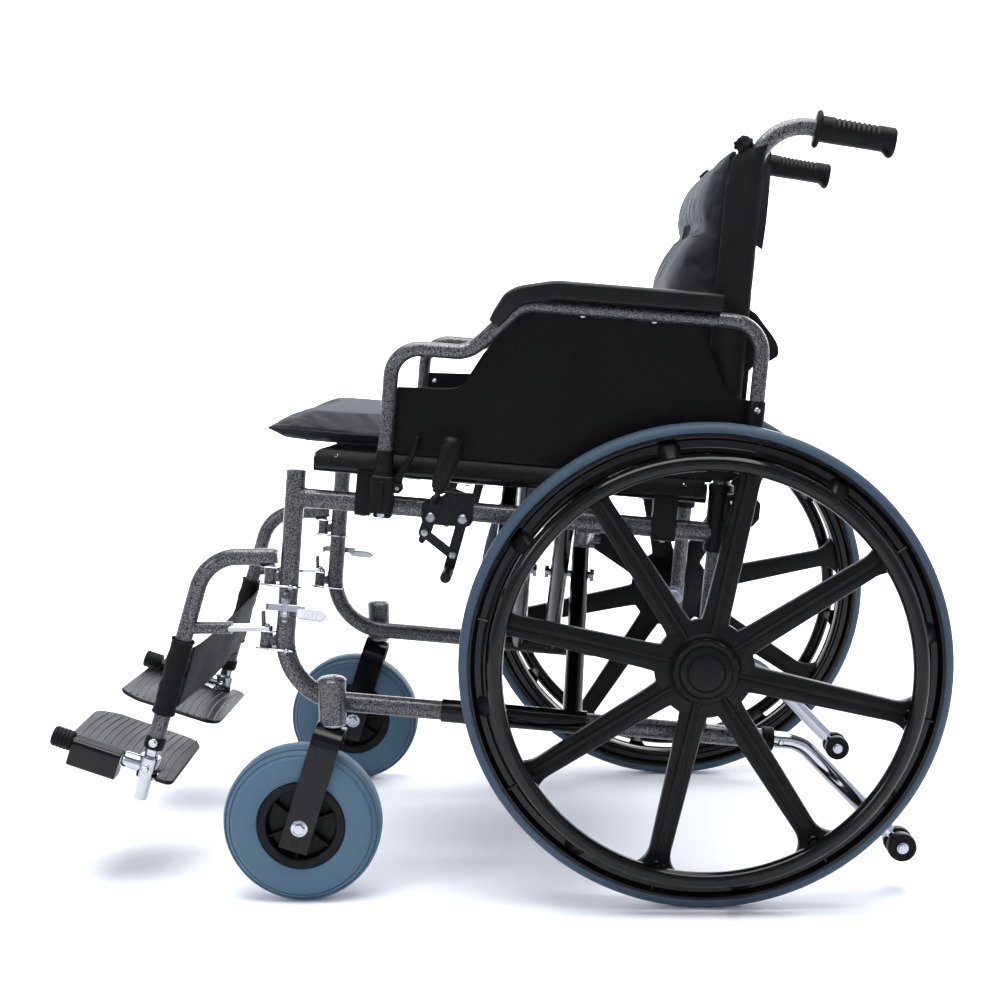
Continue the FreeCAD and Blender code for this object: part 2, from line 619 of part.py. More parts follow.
def handrim(name, spin):
    """Hand ring on stand-off lugs that reach from the rim's outer face."""
    ring = doc.addObject("Part::Torus", name + "_ring")
    bind(ring, Radius1="Sizes.handrim_radius", Radius2="Sizes.handrim_tube / 2")
    ring.Placement = Placement(Vector(0, 0, size.handrim_plane - size.wheel_plane), Rotation())
    lugs = []
    face = size.tyre_width / 2 - 1.5
    reach = size.handrim_plane - size.wheel_plane + 5
    half = size.handrim_lug / 2
    for i in range(int(size.lug_count)):
        lug = block(f"{name}_lug_{i}", Vector(size.handrim_radius + 2, -half, face),
                    Vector(size.handrim_radius + 26, half, reach))
        lug.Placement = Placement(Vector(), Rotation(UP, 360 / size.lug_count * (i + 0.5))).multiply(
            lug.Placement)
        lugs.append(lug)
    thing = fused(name, ring, *lugs)
    thing.Placement = wheel_placement(size.wheel_plane, spin)
    return thing


# ---------------------------------------------------------------------------
# Caster
# ---------------------------------------------------------------------------
caster_centre = Vector(size.stem_half_span, -size.stem_ahead - size.caster_trail,
                       size.caster_radius)


def caster_fork():
    """Flat steel fork with its stem, and the axle bolt across its legs."""
    crown_top = size.housing_foot - 4
    half = size.fork_width / 2
    stem = Vector(size.stem_half_span, -size.stem_ahead, 0)
    centre = caster_centre
    along = (Vector(0, centre.y, centre.z) - Vector(0, stem.y, crown_top)).normalize()
    across = Vector(0, -along.z, along.y)
    top = Vector(0, stem.y, crown_top)
    foot = Vector(0, centre.y, centre.z) + along * half
    first, second = foot - across * half, foot + across * half
    points = [Vector(v.y, v.z, 0) for v in (
        top - across * half, first, second, top + across * half)]
    points[0].y = points[3].y = crown_top
    owner = pad("fork_strap", "YZ_Plane", outline(points, [3, half - 0.5, half - 0.5, 3]),
                "Sizes.fork_opening + 2 * Sizes.fork_thickness", middle=True)
    owner.Placement = Placement(Vector(stem.x, 0, 0), Rotation())
    opening = size.fork_opening / 2
    gap = block("fork_gap", Vector(stem.x - opening, centre.y - 80, 0),
                Vector(stem.x + opening, stem.y + 80, crown_top - size.fork_crown))
    shaft = rod("fork_stem", Vector(stem.x, stem.y, crown_top - 2), UP,
                size.housing_foot + size.housing_height - crown_top - 2, "Sizes.stem_diameter / 2")
    washer = rod("fork_washer", Vector(stem.x, stem.y, crown_top - 1), UP, 4.6,
                 "Sizes.housing_diameter / 2 - 1")
    hole_start = Vector(stem.x - opening - 10, centre.y, centre.z)
    hole = rod("fork_axle_hole", hole_start, LEFT, 2 * opening + 20,
               "Sizes.caster_axle_diameter / 2")
    fork = cut("fork_frame", fused("fork_solid", cut("fork_legs", owner, gap), shaft, washer), hole)
    outside = opening + size.fork_thickness
    bolt = rod("caster_bolt", Vector(stem.x - outside, centre.y, centre.z), LEFT, 2 * outside,
               "Sizes.caster_axle_diameter / 2")
    heads = [rod(f"caster_bolt_head_{i}", Vector(stem.x + side, centre.y, centre.z), LEFT, 5,
                 "Sizes.caster_axle_diameter / 2 + 3")
             for i, side in enumerate((-outside - 5, outside))]
    return group("caster_fork", fork, fused("caster_axle_bolt", bolt, *heads))


def caster_tyre():
    outer, inner = size.caster_radius, size.caster_hub_diameter / 2
    half = size.caster_width / 2
    thing = turned("caster_tyre_profile", [
        (inner, -half + 8), (inner + 10, -half + 2), (outer - 16, -half), (outer, -10), (outer, 10),
        (outer - 16, half), (inner + 10, half - 2), (inner, half - 8)], [0, 6, 12, 14, 14, 12, 6, 0])
    thing.Placement = Placement(caster_centre, WHEEL_TURN)
    return thing


def caster_hub():
    outer, half = size.caster_hub_diameter / 2, size.caster_hub_width / 2
    bore = size.caster_axle_diameter / 2 + size.running_gap
    reach = size.fork_opening / 2 - size.side_gap
    profile = [(bore, -reach), (12, -reach), (12, -6), (outer - 12, -6), (outer - 9, -half + 3),
               (outer, -half + 3), (outer, half - 3), (outer - 9, half - 3), (outer - 12, 6),
               (12, 6), (12, reach), (bore, reach)]
    owner = turned("caster_hub_profile", profile)
    rib_outline = sketch(owner, "XY_Plane", outline(flat([
        (10, -2), (outer - 6, -2), (outer - 6, 2), (10, 2)])), "rib")
    rib = owner.newObject("PartDesign::Pad", "caster_hub_rib")
    rib.Profile = rib_outline
    rib.Length = size.caster_hub_width - 12
    rib.Midplane = True
    doc.recompute()
    ribs = owner.newObject("PartDesign::PolarPattern", "caster_hub_ribs")
    ribs.Originals = [rib]
    ribs.Axis = (rib_outline, ["N_Axis"])
    ribs.Angle = 360
    ribs.Occurrences = 8
    owner.Tip = ribs
    doc.recompute()
    owner.Placement = Placement(caster_centre, WHEEL_TURN)
    return owner


# ---------------------------------------------------------------------------
# Cross brace and side link
# ---------------------------------------------------------------------------
def cross_brace(name, side, bars, sleeve_gap):
    """Lower sleeve on one side's rail, two bars up to the other side's seat rail.

    side is +1 for the brace that turns on the left lower rail."""
    x = side * size.rail_half_span
    low, high = -size.lower_rail_drop, size.seat_rail_rise
    sleeve_start = Vector(x, -size.sleeve_front, low)
    sleeve_length = size.sleeve_front - size.sleeve_back
    sleeve = rod(name + "_sleeve", sleeve_start, REAR, sleeve_length, "Sizes.sleeve_diameter / 2")
    sleeve_bore = rod(name + "_sleeve_bore", sleeve_start, REAR, sleeve_length,
                      "Sizes.tube_diameter / 2 + Sizes.running_gap")
    rail_start = Vector(-x, -size.seat_rail_front, high)
    rail_length = size.seat_rail_front - size.seat_rail_back
    rail = rod(name + "_seat_rail", rail_start, REAR, rail_length, "Sizes.tube_diameter / 2")
    rail_bore = rod(name + "_seat_bore", rail_start, REAR, rail_length,
                    "Sizes.tube_diameter / 2 - Sizes.tube_wall")
    solids, holes = [sleeve, rail], [sleeve_bore, rail_bore]
    upward = Vector(-2 * x, 0, high - low).normalize()
    for i, along in enumerate(bars):
        start, end = Vector(x, -along, low), Vector(-x, -along, high)
        solids.append(rod_between(f"{name}_bar_{i}", start, end, "Sizes.tube_diameter / 2"))
        holes.append(rod_between(f"{name}_bar_bore_{i}", start + upward * 20, end - upward * 17,
                                 "Sizes.tube_diameter / 2 - Sizes.tube_wall"))
        holes.append(rod(f"{name}_pivot_hole_{i}", Vector(0, -along - tube_radius, cross_rise), REAR,
                         size.tube_diameter, f"Sizes.pivot_bolt_diameter / 2 + {sleeve_gap}"))
    return cut(name, fused(name + "_solid", *solids), *holes)


def brace_bolts():
    """Two bolts along the crossing line, one through each pair of bars."""
    bolts = []
    reach = tube_radius
    pairs = ((-size.outer_bar_front, -size.inner_bar_front), (-size.inner_bar_back, -size.outer_bar_back))
    for i, (first, last) in enumerate(pairs):
        start = Vector(0, first - reach - 2, cross_rise)
        length = last - first + 2 * reach + 4
        pieces = [rod(f"brace_bolt_shank_{i}", start, REAR, length, "Sizes.pivot_bolt_diameter / 2")]
        for j, place in enumerate((start.y - 6, start.y + length)):
            pieces.append(rod(f"brace_bolt_end_{i}{j}", Vector(0, place, cross_rise), REAR, 6,
                              "Sizes.pivot_bolt_diameter / 2 + 4"))
        bolts.append(fused(f"brace_bolt_{i}", *pieces))
    return group("brace_bolts", *bolts)


def link_end():
    """Where the side link's lower end stands, beside the inner bar."""
    return Vector(size.rail_half_span - link_offset * math.cos(open_angle), 0,
                  size.seat_rail_rise - link_offset * math.sin(open_angle))


def side_link(bar=size.inner_bar_back):
    """Short tube from a sleeve on the upper rail to a place just behind the given brace bar."""
    x, high = size.rail_half_span, size.upper_rail_rise
    back = -bar + tube_radius + 1.5
    middle = back + size.link_sleeve_length / 2
    sleeve = rod("link_sleeve", Vector(x, back, high), REAR, "Sizes.link_sleeve_length",
                 "Sizes.sleeve_diameter / 2")
    bore = rod("link_sleeve_bore", Vector(x, back, high), REAR, "Sizes.link_sleeve_length",
               "Sizes.tube_diameter / 2 + Sizes.running_gap")
    end = link_end()
    arm = rod_between("link_arm", Vector(x, middle, high), Vector(end.x, middle, end.z),
                      "Sizes.link_diameter / 2 - 2")
    eye = rod("link_eye", Vector(end.x, back, end.z), REAR, "Sizes.link_sleeve_length",
              "Sizes.link_diameter / 2")
    knob = rod("link_knob", Vector(end.x, back + size.link_sleeve_length, end.z), REAR, 7,
               "Sizes.pivot_bolt_diameter / 2 + 2")
    return cut("side_link", fused("side_link_solid", sleeve, arm, eye, knob), bore)


# ---------------------------------------------------------------------------
# Footrest: hanger, latch, tube, pivot with its roller, and plate
# ---------------------------------------------------------------------------
def hinge_point(rise):
    """A point of the level chair on the hanger's hinge line, at a rise in frame space."""
    return LEVEL.inverse().multVec(FRAME.multVec(Vector(size.rail_half_span, -size.hinge_ahead, rise)))


hinge_line = FRAME.Rotation.multVec(UP)


def hanger():
    x = size.rail_half_span
    corner = hanger_corner
    top_rise = (size.hanger_height - size.wheel_radius) / math.cos(lean)
    back = Vector(x, hinge_point(top_rise).y, size.hanger_height)
    end = corner + hanger_down * size.hanger_length
    outside, bore = tube("hanger_tube", [back, corner, end], [size.hanger_bend], "hanger_diameter")
    upper = hinge_point(size.upper_socket_rise - size.socket_length / 2)
    upper_pin = rod("hanger_upper_pin", upper, hinge_line,
                    (size.hanger_height - upper.z) / math.cos(lean), "Sizes.hinge_pin / 2")
    lower = hinge_point(size.lower_socket_rise - size.socket_length / 2)
    arm_z = size.lower_arm_height
    lower_pin = rod("hanger_lower_pin", lower, hinge_line, (arm_z - lower.z) / math.cos(lean),
                    "Sizes.hinge_pin / 2")
    on_tube = corner + hanger_down * ((corner.z - arm_z) / math.cos(rake))
    plate_start = hinge_point(size.lower_socket_rise).y - 44
    stub = rod_between("hanger_stub", Vector(x, on_tube.y, arm_z), Vector(x, plate_start, arm_z),
                       "Sizes.hanger_diameter / 2 - 3")
    hinge_y = hinge_point(size.lower_socket_rise).y
    lug = block("hanger_lug", Vector(x - 7.5, plate_start - 6, arm_z - 2.5),
                Vector(x + 7.5, hinge_y + 7, arm_z + 2.5))
    cap = rod("hanger_cap", Vector(x, back.y - 2, size.hanger_height), REAR, 6,
              "Sizes.hanger_diameter / 2 - Sizes.tube_wall - 1")
    keeper = rod("latch_keeper", Vector(x, hinge_y - 3, arm_z), UP, 22, "Sizes.pin_diameter / 2")
    solid = fused("hanger_solid", outside, stub, lug, cap)
    hollow = cut("hanger_hollow", solid, bore)
    return fused("hanger", hollow, upper_pin, lower_pin, keeper)


def hanger_latch():
    """Lever on the side frame whose hook holds the hanger's keeper and whose paddle releases it."""
    front = -size.upright_ahead
    middle = (latch_low + latch_high) / 2
    barrel = rod("latch_barrel", Vector(latch_x, front, latch_low + 0.3), UP,
                 latch_high - latch_low - 0.6, "4 mm")
    bore = rod("latch_bore", Vector(latch_x, front, latch_low), UP, latch_high - latch_low,
               "Sizes.pin_diameter / 2 - 1 + Sizes.running_gap")
    outer = latch_x + latch_barrel
    arm = block("latch_arm", Vector(outer - 3, front - 24, middle - 5),
                Vector(outer, front + 26, middle + 5))
    paddle = block("latch_paddle", Vector(outer - 3, front + 20, middle - 3),
                   Vector(outer + 14, front + 50, middle + 1))
    hook = block("latch_hook", Vector(size.rail_half_span + 5, front - 24, middle - 5),
                 Vector(outer, front - 20.5, middle + 5))
    return cut("hanger_latch", fused("hanger_latch_solid", barrel, arm, paddle, hook), bore)


def along_hanger(distance):
    return hanger_corner + hanger_down * distance


def footrest_tube():
    """Bright tube that telescopes in the hanger and carries the footplate's pivot boss."""
    start = along_hanger(size.hanger_length - size.footrest_tube_insert)
    end = along_hanger(size.footrest_tube_end)
    fit = "Sizes.hanger_diameter / 2 - Sizes.tube_wall - Sizes.running_gap"
    outside = rod_between("footrest_tube_outside", start, end, fit)
    bore = rod_between("footrest_tube_bore", start, end, fit + " - Sizes.tube_wall")
    boss = rod("pivot_boss", plate_axis, plate_forward, "Sizes.bracket_start - 1",
               "Sizes.plate_pin / 2 + 5")
    boss_bore = rod("pivot_boss_bore", plate_axis, plate_forward, "Sizes.bracket_start",
                    "Sizes.plate_pin / 2 + Sizes.running_gap")
    return cut("footrest_tube", fused("footrest_tube_solid", outside, boss), bore, boss_bore)


def footplate_pivot():
    """Pin along the plate's outer edge with the bumper roller on its front end."""
    first = size.hanger_diameter / 2 + 1
    pin = rod("plate_pin", plate_axis + plate_forward * first, plate_forward,
              size.roller_start + size.roller_length - first - 2, "Sizes.plate_pin / 2")
    roller = rod("plate_roller", plate_axis + plate_forward * size.roller_start, plate_forward,
                 "Sizes.roller_length", "Sizes.roller_diameter / 2")
    return fused("footplate_pivot", pin, roller)


def footplate():
    """Plate with raised outer bracket; sketched in its own plane, x inboard to outboard."""
    outer = -size.plate_inset - size.hanger_diameter / 4
    inner = outer - size.plate_width
    notch = size.hanger_diameter / 2 + 3
    tail = 14
    points = [(inner, -size.plate_behind), (tail, -size.plate_behind - 3), (tail, -notch),
              (outer, -notch), (outer, notch), (outer + 4, notch + 3), (outer + 4, size.plate_ahead),
              (inner + 12, size.plate_ahead + 4), (inner - 4, size.plate_ahead - 26)]
    bends = [26, 12, 3, 4, 2, 2, 8, 24, 30]
    owner = pad("footplate_board", "XY_Plane", outline(flat(points), bends), "Sizes.plate_thickness")
    # The sketch's +Y points forward, so the outline is turned over about X.
    up = Vector(0, math.sin(pitch), math.cos(pitch))
    owner.Placement = Placement(plate_axis - up * size.plate_drop,
                                Rotation(LEFT, 180 - size.plate_pitch))
    half = size.bracket_width / 2
    low = -size.plate_drop - size.plate_thickness - size.bracket_height / 2 + 4
    box = block("plate_bracket", Vector(-half, -size.bracket_start - size.bracket_length, low),
                Vector(half, -size.bracket_start, low + size.bracket_height))
    web = block("plate_web", Vector(outer - 6, -size.plate_ahead + 12, -size.plate_drop - 12),
                Vector(-half, -size.bracket_start, -size.plate_drop))
    bracket = fused("plate_side", box, web)
    bracket.Placement = Placement(plate_axis, Rotation(LEFT, -size.plate_pitch))
    bore = rod("plate_pin_bore", plate_axis + plate_forward * (size.bracket_start - 1), plate_forward,
               size.bracket_length + 2, "Sizes.plate_pin / 2 + Sizes.running_gap")
    return cut("footplate", fused("footplate_solid", owner, bracket), bore)


# ---------------------------------------------------------------------------
# Anti-tipper
# ---------------------------------------------------------------------------
def tipper_points():
    x, low = size.rail_half_span, -size.lower_rail_drop
    corner = Vector(x, size.tipper_bend_ahead, low)
    down = math.radians(size.tipper_angle)
    axle = corner + Vector(0, math.cos(down), -math.sin(down)) * size.tipper_run
    return corner, axle


def antitip_tube():
    corner, axle = tipper_points()
    start = Vector(corner.x, size.rail_tail - size.tipper_insert, corner.z)
    direction = (axle - corner).normalize()
    wheel = size.tipper_wheel_diameter / 2
    end = axle - direction * (wheel + 4)
    corners = [start, corner, end]
    bore_corners = [start, corner, end - direction * 14]
    fit = "Sizes.tube_diameter / 2 - Sizes.tube_wall - Sizes.running_gap"
    outside = sweep("tipper_outside", tube_path("tipper_path", corners, [size.tipper_bend]),
                    corners, fit)
    bore = sweep("tipper_bore", tube_path("tipper_bore_path", bore_corners, [size.tipper_bend]),
                 bore_corners, fit + " - Sizes.tube_wall")
    half = size.tipper_wheel_space / 2 - size.side_gap
    tongue = rod_between("tipper_tongue", end - direction * 12, axle, "5 mm")
    boss = rod("tipper_boss", axle - LEFT * half, LEFT, 2 * half, "7 mm")
    reach = half + size.tipper_wheel_width + size.side_gap
    pin = rod("tipper_pin", axle - LEFT * (reach + 1), LEFT, 2 * reach + 2, "Sizes.pin_diameter / 2")
    heads = [rod(f"tipper_pin_head_{i}", axle + LEFT * side, LEFT, 4, "Sizes.pin_diameter / 2 + 2.5")
             for i, side in enumerate((-reach - 4.5, reach + 0.5))]
    hollow = cut("tipper_hollow", outside, bore)
    return fused("antitip_tube", hollow, tongue, boss, pin, *heads)


def antitip_wheels():
    axle = tipper_points()[1]
    half = size.tipper_wheel_space / 2
    width = size.tipper_wheel_width
    wheels = []
    for word, start in (("inner", -half - width), ("outer", half)):
        disc = rod(f"tipper_wheel_{word}", axle + LEFT * start, LEFT, "Sizes.tipper_wheel_width",
                   "Sizes.tipper_wheel_diameter / 2")
        bore = rod(f"tipper_wheel_bore_{word}", axle + LEFT * start, LEFT,
                   "Sizes.tipper_wheel_width", "Sizes.pin_diameter / 2 + Sizes.running_gap")
        wheels.append(cut(f"tipper_{word}_wheel", disc, bore))
    return group("antitip_wheels", *wheels)


# ---------------------------------------------------------------------------
# Armrest
# ---------------------------------------------------------------------------
def armrest_tube():
    x = size.arm_half_span
    front, step, top = -size.arm_leg_ahead, size.arm_step_rise, size.arm_top_rise
    corners = [Vector(x, front, size.arm_leg_foot), Vector(x, front, step),
               Vector(x, -size.arm_step_end, step), Vector(x, -size.arm_top_start, top),
               Vector(x, size.arm_rear_behind, top),
               Vector(x, size.arm_rear_behind, size.arm_pivot_rise - 10)]
    bend = size.arm_bend
    outside, bore = tube("armrest", corners, [bend - 4, bend, bend, bend], "arm_tube")
    hole = rod("armrest_pin_hole", Vector(x - arm_radius, size.arm_rear_behind, size.arm_pivot_rise),
               LEFT, size.arm_tube, "Sizes.pin_diameter / 2 + Sizes.running_gap")
    return cut("armrest_tube", outside, bore, hole)


# The guard panel lies on the arm tube's inner side; the pad's inner side is flush with it, so
# that both pass the back post when the arm flips back.
panel_inner = size.arm_half_span - arm_radius - size.panel_thickness


def arm_pad():
    """Moulded pad along the arm's top with a nose that follows the slope down."""
    top = size.arm_top_rise + arm_radius + size.pad_thickness
    under = size.arm_top_rise + arm_radius - size.pad_overlap
    slope_start = -size.arm_top_start + 30
    nose = -size.pad_nose
    points = [(nose, under - 28), (nose + 8, under - 37), (slope_start, under),
              (-size.pad_tail, under), (-size.pad_tail, top), (slope_start - 10, top),
              (nose + 4, under - 14)]
    pad_body = side_plate("arm_pad_solid", points, [3, 3, 24, 4, 9, 30, 6],
                          panel_inner, "Sizes.pad_width")
    x = size.arm_half_span
    corners = [Vector(x, -size.arm_step_end, size.arm_step_rise),
               Vector(x, -size.arm_top_start, size.arm_top_rise),
               Vector(x, size.arm_rear_behind, size.arm_top_rise)]
    spine = tube_path("pad_groove_path", corners, [size.arm_bend])
    groove = sweep("pad_groove", spine, corners, "Sizes.arm_tube / 2 + 0.05")
    slot = block("pad_panel_slot", Vector(panel_inner - 1, nose - 1, under - 40),
                 Vector(x - arm_radius, slope_start, size.arm_top_rise - 2))
    return cut("arm_pad", pad_body, groove, slot)


def skirt_panel():
    """Thin guard panel on the inner side of the arm tube, with the tab at its rear bottom."""
    foot, top = size.panel_foot, size.arm_top_rise - 3
    front = -size.arm_leg_ahead + 7
    rear = size.arm_rear_behind + 12
    points = [(front, foot), (rear - 26, foot), (rear - 2, foot + 74), (rear, foot + 102),
              (rear - 34, foot + 104), (rear - 52, foot + 118), (rear - 92, top),
              (-size.arm_top_start + 6, top), (-size.arm_step_end + 18, size.arm_step_rise + 2),
              (-size.arm_step_end - 8, size.panel_front_rise + 4), (front, size.panel_front_rise)]
    bends = [4, 20, 6, 4, 8, 16, 8, 20, 8, 22, 4]
    return side_plate("skirt_panel", points, bends, panel_inner, "Sizes.panel_thickness")


def arm_lever():
    """Spring release lever behind the front arm leg, pivoted on the socket's rear face."""
    y = arm_lever_pivot().y
    rise = arm_lever_pivot().z
    x = size.arm_half_span
    points = [(y - 4, rise - 4), (y + 4, rise - 4), (y + 4, rise + 12), (y + 20, rise + 48),
              (y + 23, rise + 66), (y + 19, rise + 66), (y + 15, rise + 49), (y - 4, rise + 14)]
    blade = side_plate("arm_lever_blade", points, [3.9, 3.9, 6, 6, 0, 0, 6, 6], x - 8, "16 mm")
    hole = rod("arm_lever_hole", Vector(x - 9, y, rise), LEFT, 18,
               "Sizes.pin_diameter / 2 - 1 + Sizes.running_gap")
    return cut("arm_lever", blade, hole)


def arm_lever_pivot():
    reach = arm_radius + size.socket_clearance + size.socket_wall
    return Vector(size.arm_half_span, -size.arm_leg_ahead + reach + 5, size.socket_top - 14)


# ---------------------------------------------------------------------------
# Wheel lock
# ---------------------------------------------------------------------------
def brake_points():
    pivot = Vector(0, -size.brake_pivot_ahead, size.brake_pivot_rise)
    shoe = Vector(0, -size.shoe_pivot_ahead, size.shoe_pivot_rise)
    crank = pivot + Vector(0, math.cos(math.radians(-107.2)), math.sin(math.radians(-107.2))) \
        * size.brake_crank
    shoe_down = Vector(0, math.cos(math.radians(-100.9)), math.sin(math.radians(-100.9)))
    return pivot, shoe, crank, shoe + shoe_down * size.shoe_link_radius, shoe_down


brake_inner = size.rail_half_span + tube_radius


def strap(name, ends, half, inner, thickness):
    """A flat bar with round ends between two points of a side plane."""
    first, last = ends
    direction = (last - first).normalize()
    side = Vector(0, -direction.z, direction.y) * half
    corners = [first - side - direction * half, last - side + direction * half,
               last + side + direction * half, first + side - direction * half]
    points = [(v.y, v.z) for v in corners]
    return side_plate(name, points, [half - 0.2] * 4, inner, thickness)


def brake_bracket():
    """Plate bolted to the upper rail's outer side, with its clamp and the two pivot studs."""
    pivot, shoe = brake_points()[:2]
    rail = size.upper_rail_rise
    points = [(pivot.y - 12, pivot.z - 10), (shoe.y + 12, shoe.z - 10), (shoe.y + 12, rail + 22),
              (shoe.y - 16, rail + 28), (pivot.y + 6, rail + 14), (pivot.y - 12, rail + 8)]
    plate = side_plate("brake_plate", points, [8, 8, 6, 6, 6, 6], brake_inner, "Sizes.brake_plate")
    half = tube_radius + 3
    clamp = block("brake_clamp_block", Vector(size.rail_half_span - half, pivot.y + 8, rail - half),
                  Vector(brake_inner, pivot.y + 30, rail + half))
    hole = rod("brake_clamp_hole", Vector(size.rail_half_span, pivot.y + 8, rail), REAR, 22,
               "Sizes.tube_diameter / 2")
    face = brake_inner + size.brake_plate
    studs = []
    for word, place in (("lever", pivot), ("shoe", shoe)):
        studs.append(rod(f"{word}_stud", Vector(face - 1, place.y, place.z), LEFT,
                         size.brake_arm + 1.5, "Sizes.pin_diameter / 2"))
        studs.append(rod(f"{word}_stud_head", Vector(face + size.brake_arm + 0.5, place.y, place.z),
                         LEFT, 3, "Sizes.pin_diameter / 2 + 3"))
    return fused("brake_bracket", cut("brake_clamp", fused("brake_base", plate, clamp), hole), *studs)



def brake_lever():
    """Crank, neck and rubber grip; the grip stands outboard of the armrest."""
    pivot, crank = brake_points()[0], brake_points()[2]
    inner = brake_inner + size.brake_plate + 0.25
    lean_back = math.radians(13)
    direction = Vector(0, math.sin(lean_back), math.cos(lean_back))
    plate = strap("brake_lever_plate", (crank, pivot + direction * 22), 8, inner,
                  "Sizes.brake_arm - 0.25")
    stud_hole = rod("brake_lever_hole", Vector(inner - 1, pivot.y, pivot.z), LEFT, 8,
                    "Sizes.pin_diameter / 2 + Sizes.running_gap")
    start = Vector(inner + 2, 0, 0) + pivot + direction * 20
    grip_start = Vector(size.brake_grip_plane, 0, 0) + pivot + direction * 44
    grip_end = grip_start + direction * (size.brake_grip_length - 12)
    neck_path = [start, grip_start, grip_end]
    neck = sweep("brake_neck", tube_path("brake_neck_path", neck_path, [14]), neck_path,
                 "Sizes.pin_diameter / 2 + 1")
    radius = size.brake_grip_diameter / 2
    grip = turned("brake_grip", [
        (0, 0), (radius - 4, 0), (radius, 6), (radius, size.brake_grip_length - 9),
        (radius - 6, size.brake_grip_length), (0, size.brake_grip_length)], [0, 3, 4, 6, 4, 0])
    grip.Placement = Placement(grip_start - direction * 4, Rotation(UP, direction))
    pin = rod("brake_crank_pin", Vector(inner + 1, crank.y, crank.z), LEFT, 8.5,
              "Sizes.pin_diameter / 2 - 0.5")
    return fused("brake_lever", cut("brake_lever_arm", plate, stud_hole), neck, grip, pin)


def brake_link():
    crank, end = brake_points()[2:4]
    inner = brake_inner + size.brake_plate + size.brake_arm + 0.5
    bar = strap("brake_link_bar", (crank, end), 6, inner, "Sizes.brake_arm - 1")
    hole = rod("brake_link_hole", Vector(inner - 1, crank.y, crank.z), LEFT, 6,
               "Sizes.pin_diameter / 2 - 0.5 + Sizes.running_gap")
    rivet = rod("brake_link_rivet", Vector(inner + 2.5, end.y, end.z), LEFT, 2.5,
                "Sizes.pin_diameter / 2 + 1")
    return fused("brake_link", cut("brake_link_strap", bar, hole), rivet)


def brake_shoe():
    """Arm with the round bar across its end that presses on the tyre."""
    shoe, end, down = brake_points()[1], brake_points()[3], brake_points()[4]
    inner = brake_inner + size.brake_plate + 0.25
    tip = shoe + down * size.shoe_length
    arm = strap("brake_shoe_arm", (shoe, tip - down * 4), 7, inner, "Sizes.brake_arm - 0.25")
    hole = rod("brake_shoe_hole", Vector(inner - 1, shoe.y, shoe.z), LEFT, 8,
               "Sizes.pin_diameter / 2 + Sizes.running_gap")
    bar = rod("brake_shoe_bar", Vector(inner, tip.y, tip.z), LEFT,
              size.wheel_plane + size.tyre_width / 2 - inner - 2, "Sizes.shoe_bar_diameter / 2")
    return fused("brake_shoe", cut("brake_shoe_strap", arm, hole), bar)


# ---------------------------------------------------------------------------
# Seat, back and calf strap: closed plain forms of the soft parts
# ---------------------------------------------------------------------------
def across_plate(name, points, bends, front, length):
    """A form along the rails: outline in (x, rise) at y = front, padded rearwards."""
    owner = pad(name, "XZ_Plane", outline(flat(points), bends), length)
    owner.Placement = Placement(Vector(0, front, 0), Rotation())
    return owner


def seat_sling():
    half = size.rail_half_span + tube_radius - 2
    low = size.seat_rail_rise + tube_radius + size.soft_gap
    cloth, sag = size.seat_cloth, size.seat_sag
    inner = size.rail_half_span - tube_radius - 8
    points = [(-half, low), (-inner, low), (-inner + 40, low - sag), (inner - 40, low - sag),
              (inner, low), (half, low), (half, low + cloth), (inner - 2, low + cloth),
              (inner - 42, low + cloth - sag), (-inner + 42, low + cloth - sag),
              (-inner + 2, low + cloth), (-half, low + cloth)]
    owner = across_plate("seat_sling", points, [0, 60, 60, 60, 60, 0] * 2,
                         -size.seat_rail_back - 8, "Sizes.seat_rail_front - Sizes.seat_rail_back - 16")
    return owner


def seat_cushion():
    half = size.cushion_width / 2
    low = size.seat_rail_rise + tube_radius + 2 * size.soft_gap + size.seat_cloth
    high = low + size.cushion_thickness
    points = [(-half + 6, low), (half - 6, low), (half, low + 12), (half - 10, high),
              (-half + 10, high), (-half, low + 12)]
    owner = across_plate("seat_cushion", points, [4, 4, 8, 14, 14, 8], -size.cushion_back,
                         "Sizes.cushion_front - Sizes.cushion_back")
    return owner


def back_upholstery():
    """Cloth back: a sleeve round each post and the sheet between them, open at both ends."""
    x, y = size.rail_half_span, size.post_behind
    inside = post_radius + size.soft_gap
    outside = inside + size.back_cloth
    height = size.back_top - size.back_bottom
    pieces, holes = [], []
    for i, side in enumerate((x, -x)):
        base = Vector(side, y, size.back_bottom)
        pieces.append(rod(f"back_sleeve_{i}", base, UP, height,
                          "Sizes.post_diameter / 2 + Sizes.soft_gap + Sizes.back_cloth"))
        holes.append(rod(f"back_sleeve_hole_{i}", base, UP, height,
                         "Sizes.post_diameter / 2 + Sizes.soft_gap"))
    sheet_body = block("back_sheet", Vector(-x, y + inside, size.back_bottom),
                       Vector(x, y + outside, size.back_top))
    return cut("back_upholstery", fused("back_upholstery_solid", sheet_body, *pieces), *holes)


def back_cushion():
    """Padded back cushion with a pinched seam, hung on the front of the cloth back."""
    thick = size.back_cushion_thickness
    low, high = size.back_cushion_bottom, size.back_cushion_top
    seam = high - 95
    rear = size.post_behind + post_radius + size.soft_gap - 0.3
    waist = rear - thick - 22
    points = [(rear, low), (waist + 20, low), (waist - 4, low + 40), (waist - 4, seam - 70),
              (waist + 24, seam), (waist + 18, seam + 40), (waist + 44, high), (rear, high)]
    owner = pad("back_cushion", "YZ_Plane", outline(flat(points), [6, 18, 20, 30, 12, 30, 10, 6]),
                "Sizes.back_cushion_width", middle=True)
    return owner


